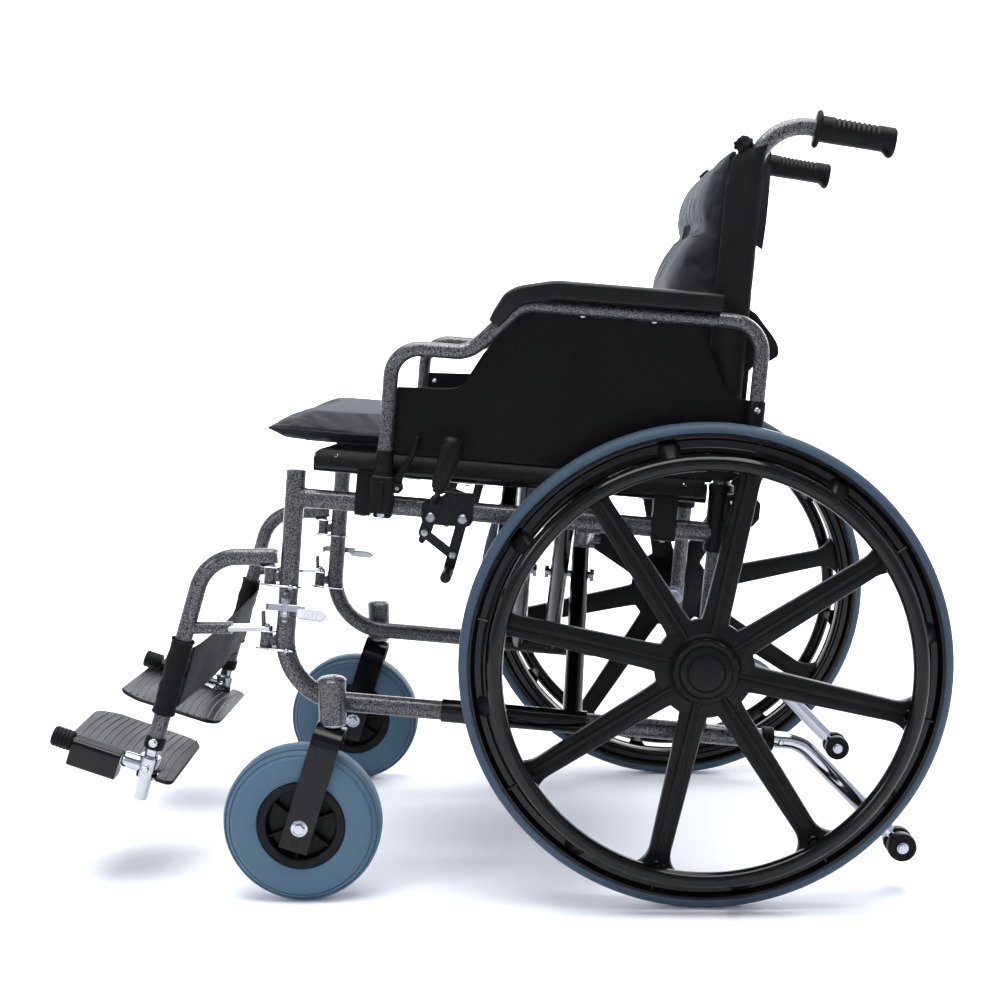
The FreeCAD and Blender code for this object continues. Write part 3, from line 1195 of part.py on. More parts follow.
def calf_strap():
    """Cloth band between the hangers, with a loop round each."""
    first, last = along_hanger(120), along_hanger(120 + size.strap_height)
    loops, holes = [], []
    x = size.rail_half_span
    for i, side in enumerate((0, -2 * x)):
        shift = Vector(side, 0, 0)
        loops.append(rod_between(f"strap_loop_{i}", first + shift, last + shift,
                                 "Sizes.hanger_diameter / 2 + Sizes.strap_thickness"))
        holes.append(rod_between(f"strap_loop_hole_{i}", first + shift, last + shift,
                                 "Sizes.hanger_diameter / 2 + Sizes.soft_gap"))
    depth = size.strap_thickness
    band = block("strap_band", Vector(-x, -depth / 2, 0), Vector(x, depth / 2, size.strap_height))
    band.Placement = Placement(last + Vector(-2 * x, 0, 0),
                               Rotation(LEFT, -size.hanger_rake))
    offset = size.hanger_diameter / 2 + depth / 2
    band.Placement.move(Vector(0, math.cos(rake), -math.sin(rake)) * (offset - depth / 2))
    return cut("calf_strap", fused("calf_strap_solid", band, *loops), *holes)


# ---------------------------------------------------------------------------
# Assembly
# ---------------------------------------------------------------------------
LEFT_PARTS = [
    ("left_side_frame", side_frame, FRAME),
    ("left_frame_fittings", frame_fittings, FRAME),
    ("left_hand_grip", hand_grip, FRAME),
    ("left_frame_bolts", frame_bolts, FRAME),
    ("left_caster_fork", caster_fork, LEVEL),
    ("left_caster_tyre", caster_tyre, LEVEL),
    ("left_caster_hub", caster_hub, LEVEL),
    ("left_side_link", side_link, FRAME),
    ("left_hanger", hanger, LEVEL),
    ("left_hanger_latch", hanger_latch, FRAME),
    ("left_footrest_tube", footrest_tube, LEVEL),
    ("left_footplate_pivot", footplate_pivot, LEVEL),
    ("left_footplate", footplate, LEVEL),
    ("left_antitip_tube", antitip_tube, FRAME),
    ("left_antitip_wheels", antitip_wheels, FRAME),
    ("left_armrest_tube", armrest_tube, FRAME),
    ("left_arm_pad", arm_pad, FRAME),
    ("left_skirt_panel", skirt_panel, FRAME),
    ("left_arm_lever", arm_lever, FRAME),
    ("left_brake_bracket", brake_bracket, FRAME),
    ("left_brake_lever", brake_lever, FRAME),
    ("left_brake_link", brake_link, FRAME),
    ("left_brake_shoe", brake_shoe, FRAME),
]

for label, make, placement in LEFT_PARTS:
    node(label, make(), placement)
doc.recompute()
for label, make, placement in LEFT_PARTS:
    if label != "left_side_link":
        mirror_side(label)

# The right brace bar that a link stands behind is the outer one.
right_link = side_link(size.outer_bar_back)
right_link.Placement = FRAME
node("right_side_link", mirrored("right_side_link", right_link))

for word, x, spin in (("left", 1, -size.spoke_phase), ("right", -1, size.far_spoke_phase)):
    tyre = rear_tyre()
    tyre.Placement = wheel_placement(size.wheel_plane, 0)
    for label, thing in ((f"{word}_rear_tyre", tyre),
                         (f"{word}_rear_wheel", rear_wheel(f"{word}_wheel_body", spin)),
                         (f"{word}_handrim", handrim(f"{word}_hand_ring", spin))):
        if x > 0:
            node(label, thing)
        else:
            thing.Placement = LEVEL.multiply(thing.Placement)
            node(label, mirrored(label, thing))

outer_bars = (size.outer_bar_front, size.outer_bar_back)
inner_bars = (size.inner_bar_front, size.inner_bar_back)
node("left_cross_brace", cross_brace("left_cross_brace", 1, outer_bars, 0), FRAME)
node("right_cross_brace",
     cross_brace("right_cross_brace", -1, inner_bars, "Sizes.running_gap"), FRAME)
node("brace_bolts", brace_bolts(), FRAME)
node("seat_sling", seat_sling(), FRAME)
node("seat_cushion", seat_cushion(), FRAME)
node("back_upholstery", back_upholstery(), FRAME)
node("back_cushion", back_cushion(), FRAME)
node("calf_strap", calf_strap(), LEVEL)
doc.recompute()

faults = [thing.Label for thing in doc.Objects
          if {"Invalid", "Error"} & set(thing.State)]
for label, thing in nodes.items():
    if thing.Shape.isNull() or not thing.Shape.isValid() or thing.Shape.Volume <= 0:
        faults.append(label)
if faults:
    raise RuntimeError("failed: " + ", ".join(faults))
for label, thing in nodes.items():
    thing.Shape.exportStep(f"parts/{label}.step")
print(len(nodes), "sub-parts written")
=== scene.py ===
import json
import math
import bmesh
import bpy
from mathutils import Matrix, Vector


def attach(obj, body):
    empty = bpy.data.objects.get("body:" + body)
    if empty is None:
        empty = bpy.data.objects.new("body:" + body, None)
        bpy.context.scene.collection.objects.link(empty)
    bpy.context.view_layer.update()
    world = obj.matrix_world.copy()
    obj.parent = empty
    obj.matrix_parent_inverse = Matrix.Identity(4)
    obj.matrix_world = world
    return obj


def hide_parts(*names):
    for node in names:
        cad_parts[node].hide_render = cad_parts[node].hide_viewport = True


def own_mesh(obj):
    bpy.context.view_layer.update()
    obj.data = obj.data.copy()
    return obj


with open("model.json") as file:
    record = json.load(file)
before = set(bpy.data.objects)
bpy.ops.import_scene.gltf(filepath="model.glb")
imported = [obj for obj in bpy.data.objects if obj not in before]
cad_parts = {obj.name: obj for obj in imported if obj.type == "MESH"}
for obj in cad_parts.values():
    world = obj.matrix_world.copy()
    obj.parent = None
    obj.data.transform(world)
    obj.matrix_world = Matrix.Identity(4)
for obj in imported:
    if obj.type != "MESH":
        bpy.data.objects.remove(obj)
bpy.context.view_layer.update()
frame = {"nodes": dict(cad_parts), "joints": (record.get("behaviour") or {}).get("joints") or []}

JOINT = {j["name"]: j for j in frame["joints"]}
SIDES = (("left", 1), ("right", -1))
SCENE = bpy.context.scene

# ---------------------------------------------------------------------------
# Frames, in millimetres. Level space has its origin on the floor under the rear axle. Rail space is
# turned with the side rails and has its origin on the rear axle: X outboard, U back, N up.
# ---------------------------------------------------------------------------
AXLE = Vector(JOINT["left_wheel_spin"]["pos_m"])
LEAN = math.radians(5.3)
RAIL = Matrix.Translation((0, AXLE.y, AXLE.z)) @ Matrix.Rotation(-LEAN, 4, "X")
LEVEL = Matrix.Translation((0, AXLE.y, 0))


class Graph:
    """Short names for the nodes of one material."""

    def __init__(self, name, base, rough, metal=0.0, coat=0.0, coat_rough=0.1, sheen=0.0,
                 specular=0.5, sheen_rough=0.5, sheen_tint=None):
        self.material = bpy.data.materials.new(name)
        self.material.use_nodes = True
        self.tree = self.material.node_tree
        self.bsdf = self.tree.nodes["Principled BSDF"]
        values = {"Base Color": (*base, 1), "Roughness": rough, "Metallic": metal, "Coat Weight": coat,
                  "Coat Roughness": coat_rough, "Sheen Weight": sheen, "Sheen Roughness": sheen_rough,
                  "Specular IOR Level": specular}
        if sheen_tint:
            values["Sheen Tint"] = (*sheen_tint, 1)
        for key, value in values.items():
            self.bsdf.inputs[key].default_value = value
        self.place = self.add("TexCoord").outputs["Object"]

    def plug(self, value, socket):
        """Links a socket to another, or gives it a plain value."""
        if isinstance(value, bpy.types.NodeSocket):
            self.tree.links.new(value, socket)
        else:
            socket.default_value = value

    def add(self, kind, **inputs):
        """A new node with its inputs given by name, an underscore for each space."""
        made = self.tree.nodes.new("ShaderNode" + kind)
        for key, value in inputs.items():
            self.plug(value, made.inputs[key.replace("_", " ")])
        return made

    def mapped(self, scale=(1, 1, 1), rotation=(0, 0, 0)):
        return self.add("Mapping", Scale=scale, Rotation=rotation, Vector=self.place).outputs["Vector"]

    def noise(self, scale, detail=3.0, rough=0.5, coords=None, distortion=0.0):
        made = self.add("TexNoise", Scale=scale, Detail=detail, Roughness=rough, Distortion=distortion,
                        Vector=coords or self.place)
        return made.outputs["Fac"]

    def cell_edges(self, scale):
        made = self.add("TexVoronoi", Scale=scale, Randomness=1.0, Vector=self.place)
        made.feature = "DISTANCE_TO_EDGE"
        return made.outputs["Distance"]

    def span(self, value, low, high, out_low=0.0, out_high=1.0):
        made = self.add("MapRange", Value=value, From_Min=low, From_Max=high, To_Min=out_low, To_Max=out_high)
        return made.outputs["Result"]

    def blend(self, value, first, second):
        made = self.add("Mix")
        made.data_type = "RGBA"
        self.plug(value, made.inputs[0])
        for index, colour in ((6, first), (7, second)):
            self.plug((*colour, 1) if isinstance(colour, tuple) else colour, made.inputs[index])
        return made.outputs[2]

    def math(self, operation, first, second):
        made = self.add("Math")
        made.operation = operation
        self.plug(first, made.inputs[0])
        self.plug(second, made.inputs[1])
        return made.outputs[0]

    def colour(self, socket):
        self.plug(socket, self.bsdf.inputs["Base Color"])

    def rough(self, socket):
        self.plug(socket, self.bsdf.inputs["Roughness"])

    def bump(self, socket, strength, distance):
        made = self.add("Bump", Strength=strength, Distance=distance, Height=socket)
        self.plug(made.outputs["Normal"], self.bsdf.inputs["Normal"])


def shade(base, factor, lift=0.0):
    return tuple(c * factor + lift for c in base)


def hammertone():
    g = Graph("hammertone", (0.16, 0.155, 0.15), 0.36, metal=0.7, coat=0.5, coat_rough=0.12)
    warp = g.noise(330, 2.0)
    vein = g.cell_edges(470)
    fleck = g.noise(900, 3.0, 0.6)
    mask = g.math("ADD", g.span(vein, 0.02, 0.22), g.math("MULTIPLY", g.span(fleck, 0.35, 0.7), 0.5))
    mask = g.span(g.math("MULTIPLY", mask, g.span(warp, 0.3, 0.7, 0.4, 1.2)), 0.25, 1.15)
    g.colour(g.blend(mask, (0.003, 0.003, 0.0035), (0.15, 0.148, 0.158)))
    g.rough(g.span(mask, 0, 1, 0.45, 0.24))
    g.bump(mask, 0.45, 0.0005)
    return g.material


def plastic(name, base, rough, grain, bump, vary=0.25, coat=0.0, specular=0.5):
    g = Graph(name, base, rough, coat=coat, coat_rough=0.08, specular=specular)
    fine = g.noise(grain, 4.0, 0.6)
    broad = g.noise(14, 3.0)
    g.colour(g.blend(broad, shade(base, 1 - vary), shade(base, 1 + vary, 0.0005)))
    g.rough(g.math("ADD", g.span(broad, 0.3, 0.7, rough - 0.05, rough + 0.07),
                   g.span(fine, 0.3, 0.7, -0.03, 0.03)))
    g.bump(fine, bump, 0.0004)
    return g.material


def metal(name, base, rough, brushed=0.0):
    g = Graph(name, base, rough, metal=1.0)
    stretched = g.mapped((1, 0.06, 0.06) if brushed else (1, 1, 1))
    fine = g.noise(400, 3.0, 0.6, stretched)
    smear = g.noise(20, 3.0, 0.6)
    g.rough(g.math("ADD", g.span(fine, 0.3, 0.7, rough * 0.7, rough * 1.3),
                   g.span(smear, 0.35, 0.75, 0, 0.06)))
    g.bump(fine, 0.05 + 0.2 * brushed, 0.0002)
    return g.material


def paint(name, base, rough, coat):
    g = Graph(name, base, rough, coat=coat, coat_rough=0.07, specular=0.12)
    peel = g.noise(220, 2.0)
    dust = g.noise(35, 4.0, 0.7)
    g.colour(g.blend(g.span(dust, 0.45, 0.8), base, shade(base, 1.8, 0.001)))
    g.rough(g.span(dust, 0.3, 0.8, rough - 0.04, rough + 0.1))
    g.bump(peel, 0.06, 0.0006)
    return g.material


def tyre_rubber(name, worn, fresh, base):
    g = Graph(name, base, 0.55, specular=0.22)
    broad = g.noise(9, 4.0, 0.6)
    fine = g.noise(600, 4.0, 0.6)
    scuff = g.noise(60, 5.0, 0.75)
    g.colour(g.blend(g.span(broad, 0.3, 0.75), g.blend(g.span(scuff, 0.5, 0.85), base, worn), fresh))
    g.rough(g.span(scuff, 0.3, 0.8, 0.46, 0.64))
    g.bump(fine, 0.12, 0.0004)
    return g.material


def vinyl(name, base, rough, grain, depth):
    """Pebbled skin of the arm pads."""
    g = Graph(name, base, rough, coat=0.06, coat_rough=0.3, specular=0.14)
    pebble = g.cell_edges(grain)
    broad = g.noise(30, 4.0, 0.65)
    g.colour(g.blend(g.span(pebble, 0.0, 0.25), shade(base, 0.6), shade(base, 1.25)))
    g.rough(g.span(broad, 0.3, 0.7, rough - 0.06, rough + 0.08))
    g.bump(g.math("ADD", g.span(pebble, 0.0, 0.3), g.math("MULTIPLY", broad, 0.6)), 0.4, depth)
    return g.material


def woven(name, base, pitch, sheen, rough=0.62, crease=0.5):
    """Nylon cloth: crossed sets of threads over broad slubs and fine creases."""
    g = Graph(name, base, rough, sheen=sheen, sheen_rough=0.45, sheen_tint=(0.6, 0.68, 0.85), specular=0.16)
    turn = math.radians(90)
    waves = []
    for rotation in ((0, 0, 0), (0, turn, 0), (turn, 0, 0)):
        wave = g.add("TexWave", Scale=1 / pitch / 3.2, Distortion=0.5, Vector=g.mapped(rotation=rotation))
        waves.append(wave.outputs["Fac"])
    weave = g.math("MULTIPLY", g.math("ADD", waves[0], waves[1]), 0.5)
    weave = g.math("ADD", g.math("MULTIPLY", weave, 0.7), g.math("MULTIPLY", waves[2], 0.3))
    slub = g.noise(70, 4.0, 0.7)
    fine = g.noise(900, 3.0, 0.6)
    fold = g.noise(26, 3.0, 0.55, distortion=0.8)
    tone = g.math("ADD", g.math("MULTIPLY", weave, 0.45), g.math("MULTIPLY", slub, 0.55))
    g.colour(g.blend(tone, shade(base, 0.72), shade(base, 1.3)))
    g.rough(g.span(slub, 0.3, 0.7, rough - 0.06, rough + 0.08))
    height = g.math("ADD", g.math("MULTIPLY", weave, 0.2), g.math("MULTIPLY", fine, 0.12))
    g.bump(g.math("ADD", height, g.math("MULTIPLY", fold, crease)), 0.5, 0.0012)
    return g.material


MAT = {
    "hammer": hammertone(),
    "wheel": plastic("wheel_plastic", (0.0030, 0.0031, 0.0036), 0.36, 1800, 0.10, specular=0.12),
    "gloss": plastic("gloss_plastic", (0.0016, 0.0016, 0.0019), 0.12, 300, 0.02, coat=0.22, specular=0.12),
    "matte": plastic("matte_plastic", (0.0028, 0.0028, 0.0033), 0.42, 1400, 0.15, specular=0.11),
    "panel": plastic("panel_plastic", (0.0020, 0.0020, 0.0024), 0.34, 900, 0.14, specular=0.10),
    "rubber": plastic("grip_rubber", (0.0024, 0.0024, 0.0028), 0.46, 1100, 0.2, specular=0.12),
    # Painted shade: near-black discs set in holes stand for the shade inside each hole.
    "hole_shade": plastic("hole_shadow", (0.0010, 0.0010, 0.0010), 0.8, 800, 0.05, specular=0.05),
    "paint": paint("black_paint", (0.0016, 0.0016, 0.0020), 0.2, 0.2),
    "lock": paint("grey_paint", (0.0035, 0.0036, 0.0042), 0.3, 0.1),
    "chrome": metal("chrome", (0.40, 0.41, 0.445), 0.08),
    "zinc": metal("zinc", (0.27, 0.28, 0.30), 0.26, 0.4),
    "paddle": plastic("paddle_plastic", (0.36, 0.36, 0.43), 0.3, 300, 0.05, coat=0.3),
    # One rubber in two copies: the rear tyre's darker base is painted shade, the caster tyre's lighter base
    # is painted light.
    "tyre": tyre_rubber("tyre_rubber", (0.050, 0.076, 0.105), (0.036, 0.060, 0.088), (0.030, 0.052, 0.078)),
    "caster_tyre": tyre_rubber("caster_rubber_painted_lit", (0.078, 0.130, 0.180), (0.062, 0.113, 0.165),
                               (0.052, 0.100, 0.150)),
    "leather": vinyl("pad_vinyl", (0.0032, 0.0032, 0.0037), 0.34, 420, 0.0005),
    "cushion": woven("cushion_nylon", (0.0085, 0.009, 0.0115), 0.0011, 0.13),
    "sling": woven("sling_nylon", (0.0026, 0.0026, 0.0033), 0.0014, 0.008, rough=0.75, crease=0.25),
    "flap": woven("flap_nylon", (0.012, 0.013, 0.017), 0.0012, 0.08, crease=0.3),
    "piping": woven("piping_nylon", (0.004, 0.0042, 0.005), 0.0009, 0.05, crease=0.1),
    "thread": woven("thread", (0.008, 0.0083, 0.01), 0.0006, 0.03, crease=0.0),
}


# ---------------------------------------------------------------------------
# Building: every maker works in millimetres, places its mesh and returns an object.
# ---------------------------------------------------------------------------
IN_RAIL = RAIL @ Matrix.Scale(0.001, 4)
IN_LEVEL = LEVEL @ Matrix.Scale(0.001, 4)
OUT, BACK, UP = Vector((1, 0, 0)), Vector((0, 1, 0)), Vector((0, 0, 1))


def at(origin, along=UP, across=None):
    """A frame at origin whose Z runs along a direction and whose X lies nearest to across."""
    z = Vector(along).normalized()
    hint = across or (OUT if abs(z.x) < 0.9 else BACK)
    x = (hint - z * hint.dot(z)).normalized()
    turn = Matrix((x, z.cross(x), z)).transposed()
    return Matrix.Translation(origin) @ turn.to_4x4()


def on_rail(origin, along=UP, across=None):
    return IN_RAIL @ at(origin, along, across)


def on_level(origin, along=UP, across=None):
    return IN_LEVEL @ at(origin, along, across)


def shift(*offset):
    return Matrix.Translation(offset)


def circle(steps):
    """The angles of evenly spaced points round a circle."""
    return [2 * math.pi * k / steps for k in range(steps)]


def ring_faces(rows, count):
    """Quads that join rows of count points, each row closed into a ring."""
    faces = []
    for first in range(0, (rows - 1) * count, count):
        for k in range(count):
            n = (k + 1) % count
            faces.append([first + k, first + n, first + count + n, first + count + k])
    return faces


def rect(left, low, right, high):
    return [(left, low), (right, low), (right, high), (left, high)]


def mirrored(half, shared=0):
    """A profile and its mirror image in Z, with its first points shared by both."""
    return half + [(-z, r) for z, r in reversed(half[shared:])]


def heading(degrees):
    return Vector((math.cos(math.radians(degrees)), math.sin(math.radians(degrees))))


def end_faces(rows, count):
    return [list(range(count)), list(range((rows - 1) * count, rows * count))]


def linked(name, data):
    obj = bpy.data.objects.new(name, data)
    SCENE.collection.objects.link(obj)
    return obj


def piece(name, verts, faces, material, place=IN_RAIL, angle=32):
    mesh = bpy.data.meshes.new(name)
    mesh.from_pydata([tuple(v) for v in verts], [], faces)
    mesh.transform(place)
    work = bmesh.new()
    work.from_mesh(mesh)
    bmesh.ops.recalc_face_normals(work, faces=work.faces)
    work.to_mesh(mesh)
    work.free()
    mesh.materials.append(MAT[material])
    mesh.shade_smooth()
    mesh.set_sharp_from_angle(angle=math.radians(angle))
    return linked(name, mesh)


def merged(name, pieces):
    """One object from several, each keeping its material."""
    work = bmesh.new()
    mesh = bpy.data.meshes.new(name)
    slots = []
    for source in pieces:
        first = len(work.faces)
        work.from_mesh(source.data)
        work.faces.ensure_lookup_table()
        material = source.data.materials[0]
        if material not in slots:
            slots.append(material)
        for face in work.faces[first:]:
            face.material_index = slots.index(material)
        bpy.data.objects.remove(source)
    work.to_mesh(mesh)
    work.free()
    for material in slots:
        mesh.materials.append(material)
    return linked(name, mesh)


def rounded(points, radii, steps=5, closed=True):
    """The polyline through points, in any dimension, with its corners turned into arcs."""
    radii = [radii] * len(points) if isinstance(radii, (int, float)) else radii
    out = []
    for i, (corner, radius) in enumerate(zip(points, radii)):
        corner = Vector(corner)
        end = not closed and i in (0, len(points) - 1)
        if radius <= 0 or end:
            out.append(corner)
            continue
        back = Vector(points[i - 1]) - corner
        ahead = Vector(points[(i + 1) % len(points)]) - corner
        b, a = back.normalized(), ahead.normalized()
        half = math.acos(max(-1, min(1, a.dot(b)))) / 2
        leg = min(radius / math.tan(half), back.length * 0.49, ahead.length * 0.49)
        radius = leg * math.tan(half)
        middle = corner + (a + b).normalized() * (radius / math.sin(half))
        v, w = corner + b * leg - middle, corner + a * leg - middle
        sweep_angle = v.angle(w)
        for k in range(steps + 1):
            t = k / steps
            turned_by = v * math.sin((1 - t) * sweep_angle) + w * math.sin(t * sweep_angle)
            out.append(middle + turned_by / math.sin(sweep_angle))
    return out


def lathe(name, profile, material, place, steps=64, loop=False, angle=32):
    """A profile of (along, radius) turned about Z."""
    verts, faces, rings = [], [], []
    for along, radius in profile:
        if radius < 1e-6:
            rings.append([len(verts)] * steps)
            verts.append((0, 0, along))
            continue
        rings.append(range(len(verts), len(verts) + steps))
        verts += [(radius * math.cos(a), radius * math.sin(a), along) for a in circle(steps)]
    pairs = list(zip(rings, rings[1:])) + ([(rings[-1], rings[0])] if loop else [])
    for low, high in pairs:
        for k in range(steps):
            n = (k + 1) % steps
            face = list(dict.fromkeys((low[k], low[n], high[n], high[k])))
            if len(face) > 2:
                faces.append(face)
    return piece(name, verts, faces, material, place, angle)


def slab(name, outline, low, high, material, place=IN_RAIL, bevel=0.6, angle=40):
    """An outline in X and Y, given some height along Z, with softened edges."""
    count = len(outline)
    points = [Vector((p[0], p[1])) for p in outline]
    area = sum(points[i - 1].x * points[i].y - points[i].x * points[i - 1].y for i in range(count))
    if area < 0:
        points.reverse()
    inner = []
    for i, point in enumerate(points):
        one, two = point - points[i - 1], points[(i + 1) % count] - point
        normal = Vector((-one.y, one.x)).normalized() + Vector((-two.y, two.x)).normalized()
        inner.append(point + normal.normalized() * bevel)
    rows = [(inner, low), (points, low + bevel), (points, high - bevel), (inner, high)]
    verts = [(p.x, p.y, z) for row, z in rows for p in row]
    return piece(name, verts, end_faces(4, count) + ring_faces(4, count), material, place, angle)


def box(name, size, material, place, corner=1.5, bevel=0.8):
    x, y, z = (v / 2 for v in size)
    outline = rounded(rect(-x, -y, x, y), corner, 3)
    return slab(name, outline, -z, z, material, place, bevel)


def carry(path, first_up=None):
    """Frames carried along a path without twist, as (point, side, up)."""
    path = [Vector(p) for p in path]
    tangents = []
    for i, point in enumerate(path):
        before, after = path[max(i - 1, 0)], path[min(i + 1, len(path) - 1)]
        tangents.append((after - before).normalized())
    up = Vector(first_up or ((0, 0, 1) if abs(tangents[0].z) < 0.9 else (1, 0, 0)))
    frames = []
    for point, tangent in zip(path, tangents):
        up = (up - tangent * up.dot(tangent)).normalized()
        frames.append((point, tangent.cross(up), up))
    return frames


def sweep(name, path, section, material, place=IN_RAIL, first_up=None, caps=True, angle=35, scale=None):
    """A closed section of (side, up) offsets carried along a path."""
    verts = []
    frames = carry(path, first_up)
    for i, (point, side, up) in enumerate(frames):
        grow = scale(i / (len(frames) - 1)) if scale else 1
        verts += [point + (side * s + up * u) * grow for s, u in section]
    faces = ring_faces(len(path), len(section))
    if caps:
        faces += end_faces(len(path), len(section))
    return piece(name, verts, faces, material, place, angle)


def ring_section(radius, steps):
    return [(radius * math.cos(a), radius * math.sin(a)) for a in circle(steps)]


def hex_head(name, place, across, height, material="chrome"):
    """A hexagon head with its washer face and a chamfered top."""
    radius = across / math.sqrt(3)
    flange = across * 0.78
    washer = [(0, 0), (0, flange), (1, across * 0.82), (1.3, flange), (1.3, 0)]
    head = [(1.3, radius), (height - 0.9, radius), (height, radius * 0.86), (height, 0)]
    return merged(name, [lathe("washer", washer, material, place, 24),
                         lathe("head", head, material, place, 6, angle=20)])


def dome_head(name, place, radius, height):
    """A button head with a driven recess."""
    profile = [(0, radius)] + [(height * math.sin(a), radius * math.cos(a))
                               for a in (math.radians(k) for k in (15, 30, 45, 60))]
    profile += [(height * 0.92, radius * 0.42), (height * 0.35, radius * 0.38), (height * 0.35, 0)]
    return lathe(name, profile, "chrome", place, 20)


def acorn(name, place, across, height):
    """A domed nut."""
    radius, half = across / math.sqrt(3), height * 0.5
    base = [(0, across * 0.7), (0.8, across * 0.7), (0.8, radius), (height * 0.45, radius),
            (half, radius * 0.86), (half, 0)]
    top = [(half, across * 0.42), (height * 0.8, across * 0.36), (height * 0.95, across * 0.2), (height, 0)]
    return merged(name, [lathe("base", base, "chrome", place, 6, angle=20),
                         lathe("top", top, "chrome", place, 20)])


def twin(obj):
    """The right-hand copy of a left-hand piece whose mesh is already in place."""
    mesh = obj.data.copy()
    mesh.transform(Matrix.Scale(-1, 4, (1, 0, 0)))
    mesh.flip_normals()
    return linked(obj.name.replace("left", "right"), mesh)


def show(obj, part, *nodes, both=True):
    """Puts a piece on the body named part, in place of its CAD nodes, and its twin on the other side."""
    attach(obj, part)
    if nodes:
        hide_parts(*nodes)
    if both:
        other = twin(obj)
        show(other, part.replace("left", "right"), *(n.replace("left", "right") for n in nodes), both=False)
    return obj


# ---------------------------------------------------------------------------
# Rear wheels
# ---------------------------------------------------------------------------
TYRE = 304.8
WHEEL_PLANE = 290
RING_RADIUS, RING_TUBE, RING_OUT = 258, 10, 38
SPOKES = 8
SPOKE_TURN = {"left": -13.2, "right": 11}
# Wheel space: X to the rear, Y up, Z outboard.
ON_AXLE = Matrix(((0, 0, 1, WHEEL_PLANE), (1, 0, 0, 0), (0, 1, 0, TYRE), (0, 0, 0, 1)))
ON_WHEEL = IN_LEVEL @ ON_AXLE


def turned(degrees):
    return ON_WHEEL @ Matrix.Rotation(math.radians(degrees), 4, "Z")


def rear_tyre(side):
    half = [(0, TYRE), (4.5, TYRE - 0.2), (8.6, TYRE - 0.9), (9.2, TYRE - 2), (9.9, TYRE - 2),
            (10.5, TYRE - 1.4), (12.8, TYRE - 2.6), (15, TYRE - 4.6), (16.5, TYRE - 7.2), (17.2, TYRE - 9.8),
            (17.1, TYRE - 11.6), (16.3, TYRE - 12.6), (10, TYRE - 13.4)]
    return lathe(side + "_tyre_look", mirrored(half, 1), "tyre", ON_WHEEL, 160, loop=True)


def moulded_rim(side):
    half = [(14, 292.4), (16.2, 291.4), (16.4, 288.8), (15, 286.6), (11.4, 285.4), (9.6, 283.6), (9.4, 276.4),
            (11, 274), (14.2, 272.8), (15.2, 270.4), (14.4, 267.6), (11, 266.2), (4, 265.4)]
    return lathe(side + "_rim", mirrored(half), "gloss", ON_WHEEL, 160, loop=True, angle=28)


def spoke(side, turn):
    """A tapered spoke that flares into the rim, with a channel between two raised lines."""
    start, root, tip, flare_start, flare = 34, 17, 13.5, 236, 32
    stations = [start, 40, 47, 55, 64, 76, 100, 140, 180, 215, flare_start, 243, 250, 256, 261, 265, 268.5]
    verts = []
    for r in stations:
        half = root + (tip - root) * (r - start) / (flare_start - start)
        if r > flare_start:
            half += flare - math.sqrt(max(0, flare ** 2 - (r - flare_start) ** 2))
        if r < 74:
            half += ((74 - r) / 40) ** 2 * 7
        line = 3.4 + 2 * min(1, (r - start) / 120)
        front = [(half, 4), (half - 1.4, 6.6), (line + 1.4, 7.8), (line, 10), (line - 1.1, 10.2), (0, 8.9)]
        back = [(half, -5), (half - 2, -7.6), (line, -9), (0, -9)]
        row = [(-w, d) for w, d in front[:-1]] + [(w, d) for w, d in reversed(front)]
        row += back + [(-w, d) for w, d in reversed(back[:-1])]
        verts += [(r, w, d) for w, d in row]
    return piece(side + "_spoke", verts, ring_faces(len(stations), len(row)), "wheel", turned(turn), 24)


def spoke_boss(side, turn):
    """The eyelet at a spoke's tip and the rib in the rim's channel above it."""
    eye = lathe(side + "_eye", [(2, 9), (11, 8.6), (12.6, 7.4), (12.8, 4.8), (11.8, 3.6), (3, 3.4), (3, 0)],
                "gloss", turned(turn) @ shift(258, 0, 0), 24)
    rib = box(side + "_rib", (14, 3, 8), "gloss", turned(turn) @ shift(280, 0, 10), 1, 0.6)
    return [eye, rib]


def ring_lug(side, turn):
    """A stand-off that swells from the rim to wrap the hand ring."""
    rows = [(8, 261, 286, 15), (14, 260.5, 283, 12.5), (20, 259, 279, 11), (26, 256.5, 275, 10),
            (31, 254, 271, 9), (35, 252, 268, 8), (38, 251.5, 265, 6)]
    verts = []
    for z, low, high, half in rows:
        outline = rounded(rect(low, -half, high, half), (high - low) / 2.4, 4)
        verts += [(p.x, p.y, z) for p in outline]
    size = len(rows), len(outline)
    return piece(side + "_lug", verts, ring_faces(*size) + end_faces(*size)[1:], "wheel", turned(turn), 70)


def wheel_hub(side):
    barrel = [(-28, 7), (-28, 22), (-26.5, 24), (-16, 28), (-11, 38), (-8, 58), (-5.6, 62), (5.6, 62),
              (7.6, 58), (8.2, 45), (12, 42), (23.5, 40.2), (26.6, 38.8), (27.8, 37), (27.8, 34.2),
              (26.6, 33), (26.2, 32), (27.4, 31), (30, 24.4), (29, 23.2), (29, 22.2), (31, 21.2), (32, 18),
              (32.3, 9), (32.3, 0)]
    pieces = [lathe(side + "_barrel", barrel, "wheel", ON_WHEEL, 96, angle=24)]
    teeth = 2 * SPOKES
    for k in range(teeth):
        turn = SPOKE_TURN[side] + 360 / teeth * (k + 0.5)
        pieces.append(box(side + "_tooth", (2.2, 9.5, 7), "wheel", turned(turn) @ shift(39.6, 0, 19.5), 1.2))
    spacer = [(-28, 11), (-31, 11), (-31, 6.5)]
    return pieces + [lathe(side + "_spacer", spacer, "zinc", ON_WHEEL, 32)]


def hand_ring(side):
    tube = [(RING_OUT + z, RING_RADIUS + r) for z, r in ring_section(RING_TUBE, 24)]
    return lathe(side + "_hand_ring", tube, "gloss", ON_WHEEL, 192, loop=True, angle=60)


